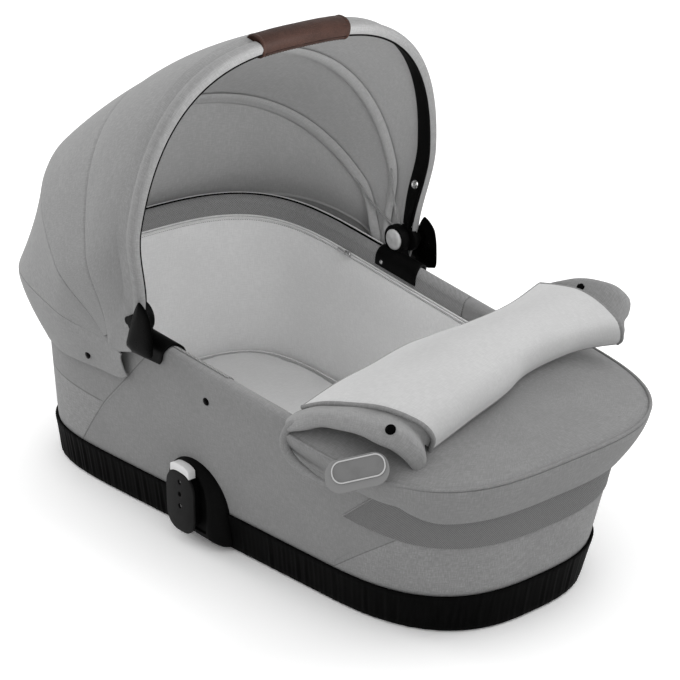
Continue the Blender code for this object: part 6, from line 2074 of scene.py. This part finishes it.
@dataclass
class Apron:
    """Apron over the foot, its piped edge and tag, and the folded wind flap."""

    start: float = 0.2110
    overhang: float = 0.0265
    skirt: float = 0.0570
    side_skirt: float = 0.0470
    side_clearance: float = 0.0022
    hem_clearance: float = 0.0075
    crest: float = 0.0460
    foot_crown: float = 0.0170
    spine_end: float = 0.3300
    rise_length: float = 0.0450
    rise_limit: float = 0.0150
    corner_drop: float = 0.0040
    fold_gap: float = 0.0036
    flap_half: float = 0.2050
    flap_width: float = 0.1530
    flap_rise: float = 0.0750
    flap_crest: float = 0.2130
    flap_bulge: float = 0.0090
    flap_wall: float = 0.0026
    flap_overhang: float = 0.0260
    near_snap_place: tuple[float, float, float] = (0.3617, -0.2040, 0.2980)
    near_snap_out: tuple[float, float, float] = (0.35, -0.62, 0.70)
    right_edge: tuple = (
        (-0.03, -1.01, 0.36), (0.17, -0.99, 0.55), (0.49, -0.95, 0.73), (0.76, -0.90, 0.82), (0.95, -0.84, 0.76),
        (1.03, -0.78, 0.63), (1.04, -0.71, 0.35), (0.98, -0.69, 0.10),
    )
    end_upper: tuple = (
        (0.2034, -0.2110, 0.2620), (0.2251, -0.2080, 0.2748), (0.2591, -0.2010, 0.2865), (0.2902, -0.1940, 0.2946),
        (0.3162, -0.1870, 0.2969), (0.3392, -0.1790, 0.2980), (0.3564, -0.1680, 0.2918), (0.3620, -0.1580, 0.2813),
        (0.3609, -0.1450, 0.2601),
    )
    far_outline: tuple = (
        (0.2009, 0.2050, 0.3212), (0.2231, 0.2130, 0.3310), (0.2480, 0.2190, 0.3407), (0.2781, 0.2250, 0.3451),
        (0.3083, 0.2300, 0.3421), (0.3209, 0.2350, 0.3283), (0.3239, 0.2300, 0.3142), (0.3232, 0.2230, 0.3060),
        (0.3260, 0.2220, 0.2923), (0.3220, 0.2220, 0.2759),
    )
    end_middle: tuple = (
        (0.2118, -0.2360, 0.2600), (0.2370, -0.2320, 0.2745), (0.2665, -0.2260, 0.2884), (0.2997, -0.2190, 0.2944),
        (0.3344, -0.2110, 0.2963), (0.3617, -0.2030, 0.2968), (0.3786, -0.1920, 0.2895), (0.3860, -0.1800, 0.2745),
        (0.3772, -0.1630, 0.2492),
    )
    end_lower: tuple = (
        (0.2180, -0.2380, 0.2550), (0.2406, -0.2340, 0.2640), (0.2625, -0.2280, 0.2741), (0.2905, -0.2220, 0.2785),
        (0.3228, -0.2130, 0.2793), (0.3435, -0.2050, 0.2729), (0.3568, -0.1980, 0.2693), (0.3666, -0.1880, 0.2588),
        (0.3724, -0.1780, 0.2438), (0.3711, -0.1680, 0.2291),
    )
    tag_place: tuple[float, float, float] = (0.3425, -0.2350, 0.2505)
    tag_out: tuple[float, float, float] = (0.40, -0.78, 0.48)
    tag_along: tuple[float, float, float] = (0.584, 0.796, 0.160)
    roll_path: tuple = (
        (0.2320, -0.2300, 0.2690), (0.2213, -0.2335, 0.2640), (0.2118, -0.2345, 0.2513), (0.2068, -0.2345, 0.2363),
        (0.2104, -0.2345, 0.2244), (0.2225, -0.2345, 0.2158), (0.2431, -0.2345, 0.2097), (0.2690, -0.2345, 0.2072),
        (0.2982, -0.2330, 0.2087),
    )
    roll_radii: tuple = ((0, 8, 20, 40, 60), (0.0030, 0.0052, 0.0064, 0.0056, 0.0020))
    left_edge: tuple = (
        (-0.12, 0.98, 0.99), (0.10, 0.98, 1.09), (0.37, 0.98, 1.15), (0.65, 0.99, 0.99),
        (0.78, 1.00, 0.80), (0.76, 1.04, 0.50), (0.67, 1.08, 0.33),
    )
    head_edge: tuple = (
        (-0.03, -1.01, 0.36), (-0.03, -0.73, 0.56), (-0.02, -0.50, 0.67), (-0.02, -0.24, 0.80), (-0.02, 0.24, 0.82),
        (-0.04, 0.68, 0.89), (-0.12, 0.98, 0.99),
    )
    free_edge: tuple = (
        (0.98, -0.69, 0.10), (0.94, -0.37, 0.30), (0.80, 0.05, 0.39), (0.71, 0.20, 0.40),
        (0.61, 0.59, 0.40), (0.58, 0.80, 0.36), (0.61, 0.98, 0.33), (0.67, 1.08, 0.33),
    )

    def build(self) -> None:
        """Build the apron, its piping and tag, and the flap."""
        self.build_apron()
        self.build_tag()
        self.build_flap()

    def edge(self, outside: float, count: int, drop: float = 0.0) -> np.ndarray:
        """Loop of the wall pushed outwards, only where the apron covers it.

        Args:
            outside: Distance outwards.
            count: Points round the whole tub.
            drop: Drop below the rim.

        Returns:
            The covered points.
        """
        ring = np.roll(TUB.ring(-outside, drop=drop, count=count), count // 2, axis=0)
        covered = ring[ring[:, 0] > self.start]
        for end in (0, -1):
            covered[end, 2] += TUB.height(self.start) - TUB.height(covered[end, 0])
            covered[end, 0] = self.start
        return covered

    def apron_grid(self, columns: int, rows: int) -> np.ndarray:
        """Columns by rows: from the hem up to the piped edge and over to the spine.

        Args:
            columns: Points round the whole tub, of which the covered ones are kept.
            rows: Rows on the top.

        Returns:
            The grid.
        """
        edge = self.edge(self.overhang, columns)
        hem_ring = self.edge(0.0, columns * 4, drop=self.side_skirt)
        fold = self.flap_layers(17, 7)[1][:, 0]
        grid = []
        for point in edge:
            near = int(np.argmin(np.hypot(hem_ring[:, 0] - point[0], hem_ring[:, 1] - point[1])))
            foot = hem_ring[near] * (1, 1, 0)
            toward = point * (1, 1, 0) - foot
            toward /= np.linalg.norm(toward)
            end_share = ease((point[0] - self.spine_end) / (TUB.rim_lengths[0] - self.spine_end))
            depths = [self.side_skirt, self.side_skirt - 0.002, self.skirt]
            depth = float(np.interp(end_share, [0.0, 0.35, 1.0], depths))
            off = self.side_clearance + (self.hem_clearance - self.side_clearance) * end_share
            hem = foot + toward * off
            row = []
            for share in np.linspace(1.0, 0.06, 12):
                lower = point + (hem - point) * share ** 1.5
                lower[2] = point[2] - depth * share
                row.append(lower)
            spine_x = min(point[0], self.spine_end)
            spine = np.array([spine_x, 0.0, 0.0])
            plan_reach = math.hypot(point[0] - spine_x, point[1])
            for k in range(rows):
                share = (k / (rows - 1)) ** 1.15
                place = point + (spine - point) * share
                reach = math.hypot(place[0] - spine_x, place[1])
                along = np.clip((place[0] - self.start) / (TUB.rim_lengths[0] + self.overhang - self.start), 0, 1)
                crown = self.crest + (self.foot_crown - self.crest) * ease(along)
                place[2] = TUB.height(place[0]) + crown * (1 - (reach / plan_reach) ** 2.6)
                seat = np.interp(place[1], fold[:, 1], fold[:, 2]) - self.fold_gap
                ramp = ease(share / 0.14)
                dip = self.corner_drop * (1 - abs(2 * ramp - 1))
                lift = np.clip(seat - place[2], 0.0, self.rise_limit) * ramp - dip
                place[2] += lift * (1 - ease((place[0] - self.start) / self.rise_length))
                row.append(place)
            grid.append(row)
        return np.array(grid)

    def build_apron(self) -> None:
        """Apron cloth, the piping round its top and the hem."""
        grid = self.apron_grid(576, 26)
        item = surface("apron_cloth", np.transpose(grid, (1, 0, 2)), "apron", 0.0020, weld=0.0003)
        settle(item, "cot", "tub_cloth", "apron")
        declare(grid)
        cord = self.edge(self.overhang - 0.0004, 480)
        cord[:, 2] += 0.0014
        settle(PATHS.cord("apron_piping_cord", cord[1:-1], 0.0022, "binding"), "cot", "canopy_cloth", "apron_piping")
        path = self.along(self.roll_path, 61)
        radii = np.interp(np.arange(61), *self.roll_radii)
        way = np.gradient(path, axis=0)
        first = np.cross(way, (0.0, 1.0, 0.0))
        first /= np.linalg.norm(first, axis=1)[:, None]
        rings = [[tuple(p + (a * math.cos(t) + np.array((0.0, 1.0, 0.0)) * math.sin(t)) * r)
                  for t in even_turns(16)] for p, a, r in zip(path, first, radii)]
        settle(loft("apron_corner_roll", rings, "binding", sharp=70.0), "cot", "tub_cloth")
        hem = grid[:, 0] + np.array([0.0, 0.0, 0.0004])
        settle(PATHS.cord("apron_hem_cord", hem, 0.0014, "binding", sides=8), "cot", "canopy_cloth")

    def place(self, shares: Sequence[float]) -> tuple[float, float, float]:
        """A place on the flap from its shares along, across and up.

        Args:
            shares: The three shares.

        Returns:
            The place.
        """
        x, y, z = shares
        return (self.flap_crest + x * self.flap_width, y * self.flap_half,
                TUB.height(self.flap_crest) + z * self.flap_rise)

    @staticmethod
    def along(table: Sequence, count: int) -> np.ndarray:
        """Points at even steps along a smooth curve through a table of places.

        Args:
            table: Places, first to last.
            count: How many points.

        Returns:
            The points.
        """
        table = np.asarray(table, float)
        at = run_length(table)
        want = np.linspace(0, at[-1], count)
        slope = np.gradient(table, at, axis=0)
        k = np.clip(np.searchsorted(at, want, side="right") - 1, 0, len(at) - 2)
        span = (at[k + 1] - at[k])[:, None]
        t = (want[:, None] - at[k][:, None]) / span
        return (table[k] * (2 * t**3 - 3 * t**2 + 1) + slope[k] * span * (t**3 - 2 * t**2 + t)
                + table[k + 1] * (3 * t**2 - 2 * t**3) + slope[k + 1] * span * (t**3 - t**2))

    def flap_grid(self, columns: int, rows: int) -> np.ndarray:
        """Grid of the flap between its four edges, from its right end to its left end.

        Args:
            columns: Points from the right end to the left end.
            rows: Points from the head edge to the free edge.

        Returns:
            Columns by rows by three.
        """
        right, left = (self.along([self.place(p) for p in t], rows) for t in (self.right_edge, self.left_edge))
        head, free = (self.along([self.place(p) for p in t], columns) for t in (self.head_edge, self.free_edge))
        t = np.linspace(0, 1, columns)[:, None, None]
        s = np.linspace(0, 1, rows)[None, :, None]
        sides = right[None] * (1 - t) + left[None] * t + head[:, None] * (1 - s) + free[:, None] * s
        corners = (right[0] * (1 - t) + left[0] * t) * (1 - s) + (right[-1] * (1 - t) + left[-1] * t) * s
        grid = sides - corners
        grid[:, :, 2] += self.flap_bulge * (np.sin(math.pi * s) * np.sin(math.pi * t) ** 0.5)[:, :, 0]
        return grid

    def flap_layers(self, columns: int, rows: int) -> tuple[np.ndarray, np.ndarray]:
        """Grids of the pale lining on top and of the grey cloth below it.

        Args:
            columns: Points from the right end to the left end.
            rows: Points from the head edge to the free edge.

        Returns:
            The lining's grid and the cloth's, each columns by rows by three.
        """
        lining = self.flap_grid(columns, rows)
        down = np.cross(np.gradient(lining, axis=0), np.gradient(lining, axis=1))
        down /= np.linalg.norm(down, axis=2)[:, :, None]
        down *= -np.sign(down[columns // 2, rows // 2, 2])
        cloth = lining + down * (self.flap_wall + 0.0014)
        over = self.flap_overhang
        hang = np.linspace(1, 0, rows)[:, None] * (0, 0, over / 3)
        first = cloth[0] + (-over / 8, -over * 0.75, -over * 0.1) - hang
        last = cloth[-1] + (over / 2, over * 0.8, over * 0.3)
        return lining, np.concatenate([[first], cloth, [last]])

    def flap_cloth_grid(self, columns: int, rows: int) -> np.ndarray:
        """Cloth layer with its two ends bent over smoothly.

        Args:
            columns: Points from the right end to the left end.
            rows: Points from the head edge to the free edge.

        Returns:
            Columns by rows by three.
        """
        _, cloth = self.flap_layers(columns, rows)
        body = cloth[1:-1]
        upper, middle, lower = (self.along(t, rows) for t in (self.end_upper, self.end_middle, self.end_lower))
        under = lower + (-0.001, 0.009, -0.0035)
        upper = upper + (0.002, -0.0075, 0.0030)
        table = [body[0], upper, middle, lower, under, under + (-0.002, 0.012, 0.003)]
        band = np.array([self.along([line[k] for line in table], 26) for k in range(rows)]).transpose(1, 0, 2)
        outline = self.along(self.far_outline, rows)
        fall = np.interp(np.linspace(0, 1, rows), (0.0, 0.40, 0.70, 1.0), (0.9, 1.0, 0.35, 0.05))[:, None]
        table = [body[-1], body[-1] + (0.0, 0.006, 0.0010), outline + (0.0, -0.0020, -0.0010),
                 outline + fall * (-0.003, 0.0040, -0.0060), outline + fall * (-0.008, 0.0060, -0.0220)]
        hood = np.array([self.along([line[k] for line in table], 22) for k in range(rows)]).transpose(1, 0, 2)
        return np.concatenate([band[:0:-1], body, hood[1:]])

    def build_flap(self) -> None:
        """Pale lining with a bound edge on top of grey cloth, and its two snaps."""
        lining, _ = self.flap_layers(121, 33)
        item = surface("flap_lining_cloth", np.transpose(lining, (1, 0, 2)), "lining", self.flap_wall)
        settle(item, "flap", "flap_lining", "flap_lining")
        declare(lining)
        cloth = self.flap_cloth_grid(121, 33)
        item = surface("flap_outer_cloth", np.transpose(cloth, (1, 0, 2)), "canopy", 0.0022)
        settle(item, "flap", "canopy_cloth", "flap_cloth")
        declare(cloth)
        rim = np.concatenate([lining[:, 0], lining[-1, 1:], lining[-2::-1, -1], lining[0, -2:0:-1]])
        settle(PATHS.cord("flap_lining_binding", rim, 0.0019, "binding", closed=True), "flap", "canopy_cloth")
        for name, roll, radius in (("flap_end_roll", lining[0] + (0.0, -0.0010, -0.0008), 0.0029),
                                   ("flap_far_roll", lining[-1] + (0.0, 0.0016, -0.0006), 0.0027)):
            settle(PATHS.cord(name, roll, radius, "binding", sides=14), "flap", "canopy_cloth")
        row = int(np.argmin(np.abs(cloth[-17, :, 0] - 0.2620)))
        place, ahead, across = cloth[-17, row], cloth[-17, row + 1], cloth[-19, row]
        out = np.cross(ahead - place, place - across)
        out *= np.sign(out[2])
        seat = place + out / np.linalg.norm(out) * 0.0014
        snap("flap_snap_cap_left", seat, out, "flap_snap_left", "flap", 0.0056)
        snap("flap_snap_cap_right", self.near_snap_place, self.near_snap_out, "", "flap", 0.0058)
        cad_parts["flap_snap_right"].material_slots[0].material = FINISH.get("gloss")

    def build_tag(self) -> None:
        """Rounded rubber tag with a raised pale border and a bare middle, on a cloth tab."""
        out = np.array(self.tag_out)
        out /= np.linalg.norm(out)
        along = np.array(self.tag_along)
        along -= out * float(along @ out)
        along /= np.linalg.norm(along)
        up = np.cross(out, along)

        def loop(length: float, width: float, lift: float, shift: tuple[float, float]) -> list[tuple]:
            """Outline of a rounded rectangle at a height over the tab.

            Args:
                length: Length of the rectangle.
                width: Width of the rectangle.
                lift: Height over the tab.
                shift: Step of its middle along and across the tag.

            Returns:
                The outline's points.
            """
            radius, straight = width * 0.47, length / 2 - width * 0.47
            points = []
            for t in even_turns(64) + math.pi / 64:
                u = math.copysign(straight, math.cos(t)) + radius * math.cos(t)
                v = math.copysign(width / 2 - radius, math.sin(t)) + radius * math.sin(t)
                step = along * (u + shift[0]) + up * (v + shift[1]) + out * lift
                points.append(tuple(np.array(self.tag_place) + step))
            return points

        for name, finish, slot, shift, levels in (
            ("apron_tag_tab", "apron", "tub_cloth", (-0.003, -0.004), (
                (0.0740, 0.0350, -0.0030), (0.0780, 0.0380, -0.0020), (0.0790, 0.0390, -0.0008), (0.0782, 0.0382, 0.0),
                (0.0300, 0.0100, 0.0001))),
            ("apron_tag_plate", "tag", "grey_plastic", (0.0, 0.0), (
                (0.0676, 0.0276, -0.0006), (0.0680, 0.0280, 0.0006), (0.0670, 0.0270, 0.0010),
                (0.0300, 0.0080, 0.0010))),
            ("apron_tag_border", "tag_line", "grey_plastic", (0.0, 0.0), (
                (0.0668, 0.0268, 0.0006), (0.0668, 0.0268, 0.0014), (0.0658, 0.0258, 0.0018), (0.0646, 0.0246, 0.0018),
                (0.0636, 0.0236, 0.0014), (0.0636, 0.0236, 0.0006))),
        ):
            rings = [loop(length, width, lift, shift) for length, width, lift in levels]
            item = loft(name, rings, finish, capped=name != "apron_tag_border")
            settle(item, "cot", slot, "apron_tag" if name == "apron_tag_plate" else "")


# ---------------------------------------------------------------- parts kept from the CAD


class KeptParts:
    """CAD parts whose shape is right get their finish; the side snaps and the slider are rebuilt."""

    DRESSED = {
        "base_tray": "plastic", "rim_frame": "steel", "head_stay": "steel", "foot_stay": "steel",
        "mid_bow": "sleeve", "rear_bow": "sleeve", "hood_pin_left": "plastic", "hood_pin_right": "plastic",
        "button_spring_left": "steel", "button_spring_right": "steel", "tab_spring_left": "steel",
        "tab_spring_right": "steel",
    }
    SLIDER = {
        "body": (0.0, (
            (0.0065, 0.0022, 0.0010), (0.0055, 0.0034, 0.0022), (0.0015, 0.0040, 0.0026), (-0.0020, 0.0030, 0.0026),
            (-0.0050, 0.0032, 0.0022), (-0.0062, 0.0022, 0.0010))),
        "pull": (0.0022, (
            (-0.0030, 0.0012, 0.0008), (-0.0060, 0.0018, 0.0008), (-0.0120, 0.0024, 0.0008),
            (-0.0190, 0.0027, 0.0008), (-0.0215, 0.0016, 0.0006))),
    }
    ZIP_INSET = 0.0262

    def build(self) -> None:
        """Dress the kept nodes and rebuild the side snaps and the slider."""
        for name, finish in self.DRESSED.items():
            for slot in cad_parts[name].material_slots:
                slot.material = FINISH.get(finish)
            log.info("%s keeps its shape, in %s", name, finish)
        for label, side in SIDES.items():
            low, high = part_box(f"side_snap_{label}")
            snap(f"side_snap_cap_{label}", (low + high) / 2, (0.045, side, -0.115), f"side_snap_{label}", "cot")
        self.build_slider()

    def build_slider(self) -> None:
        """Zip slider: waisted body on the coil and a flat pull that lies along the zip."""
        low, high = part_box("zip_slider")
        middle = (Vector(low) + Vector(high)) / 2
        drop = TUB.height(middle.x) - high[2] + 0.0030

        def place(x: float, lift: float, out: float) -> tuple[float, float, float]:
            """A point beside the zip from its place along it, its lift and its distance off it."""
            return tuple(TUB.on_wall(x, 1.0, drop - lift, -self.ZIP_INSET - out))

        parts = []
        for name, (off, table) in self.SLIDER.items():
            rings = [[place(middle.x + x, tall * math.sin(t), off + deep * math.cos(t))
                      for t in even_turns(12)] for x, tall, deep in table]
            parts.append(loft(f"slider_{name}", rings, "nickel", sharp=50.0))
        item = joined("zip_slider_body", parts, 45.0)
        settle(item, "slider", "steel", "zip_slider")


# ---------------------------------------------------------------- studio


@dataclass
class Studio:
    """Pale floor, soft lights and the camera at the photograph's angle."""

    position: tuple = (2.049944, -1.708069, 1.380490)
    right: tuple = (0.6460667, 0.7632809, 0.0)
    up: tuple = (-0.3014982, 0.2551982, 0.9186799)
    forward: tuple = (-0.7012108, 0.5935285, -0.3950029)
    focal_pixels: float = 2200.0
    frame_pixels: float = 680.0
    floor_half: float = 14.0
    lamps: tuple = (
        ("key_softbox", (0.9, 1.3, 2.3), 1.8, 9.0, (0, 0, 0.25)),
        ("foot_softbox", (2.6, -0.2, 1.4), 1.4, 2.5, (0, 0, 0.25)),
        ("head_softbox", (-2.4, -0.9, 1.2), 1.4, 12.0, (0, 0, 0.25)),
        ("hood_softbox", (0.18, 0.0, 0.60), 0.24, 0.80, (-0.35, 0.0, 0.42)),
    )

    def build(self) -> None:
        """Build the floor, the world, the lamps and the camera."""
        self.build_floor()
        self.build_world()
        self.build_lamps()
        self.build_camera()
        bpy.context.scene.view_settings.view_transform = "Standard"

    def build_floor(self) -> None:
        """Large pale floor that keeps the shadow and reads white to the camera."""
        mesh = bpy.data.meshes.new("studio_floor")
        half = self.floor_half
        mesh.from_pydata([(-half, -half, 0), (half, -half, 0), (half, half, 0), (-half, half, 0)], [], [(0, 1, 2, 3)])
        item = link("studio_floor", mesh)
        material = bpy.data.materials.new("white_paper_sweep")
        material.use_nodes = True
        tree = material.node_tree
        tree.nodes.clear()
        rays = node(tree, "ShaderNodeLightPath").outputs
        tone = node(tree, "ShaderNodeMapRange", {
            "Value": ("MAXIMUM", rays["Is Camera Ray"], rays["Is Glossy Ray"]), "To Min": 0.70, "To Max": 1.25})
        node(tree, "ShaderNodeOutputMaterial", {"Surface": node(tree, "ShaderNodeBsdfDiffuse", {"Color": tone})})
        mesh.materials.append(material)

    def build_world(self) -> None:
        """White surroundings to the camera, softer as a light."""
        world = bpy.data.worlds.new("studio_world")
        bpy.context.scene.world = world
        world.use_nodes = True
        tree = world.node_tree
        tree.nodes.clear()
        rays = node(tree, "ShaderNodeLightPath").outputs
        strength = node(tree, "ShaderNodeMapRange", {
            "Value": ("MAXIMUM", rays["Is Camera Ray"], rays["Is Transmission Ray"]), "To Min": 0.95, "To Max": 1.0})
        sky = node(tree, "ShaderNodeBackground", {"Color": (1, 1, 1, 1), "Strength": strength})
        node(tree, "ShaderNodeOutputWorld", {"Surface": sky})

    def build_lamps(self) -> None:
        """Four soft boxes: high at the far side, at the foot, behind the head and small in the hood."""
        for name, place, size, power, aim in self.lamps:
            data = bpy.data.lights.new(name, "AREA")
            data.shape, data.size, data.energy = "DISK", size, power
            lamp = bpy.data.objects.new(name, data)
            bpy.context.scene.collection.objects.link(lamp)
            lamp.location = place
            lamp.rotation_euler = (Vector(aim) - Vector(place)).to_track_quat("-Z", "Y").to_euler()
            lamp.visible_camera = False

    def build_camera(self) -> None:
        """Camera from the photograph's place, with the same field of view."""
        data = bpy.data.cameras.new("photo_camera")
        data.sensor_width = 36.0
        data.lens = self.focal_pixels / self.frame_pixels * data.sensor_width
        data.clip_start, data.clip_end = 0.05, 60.0
        camera = bpy.data.objects.new("photo_camera", data)
        bpy.context.scene.collection.objects.link(camera)
        rows = [(self.right[k], self.up[k], -self.forward[k], self.position[k]) for k in range(3)]
        camera.matrix_world = Matrix((*rows, (0, 0, 0, 1)))
        bpy.context.scene.camera = camera


def main() -> None:
    """Build every sub-assembly in order."""
    logging.basicConfig(level=logging.INFO, format="%(message)s")
    for maker in (Tub(), Mattress(), Hood(), Hinge(), Apron(), Adapter(), KeptParts(), Studio()):
        log.info("building %s", type(maker).__name__)
        maker.build()


if __name__ == "__main__":
    main()
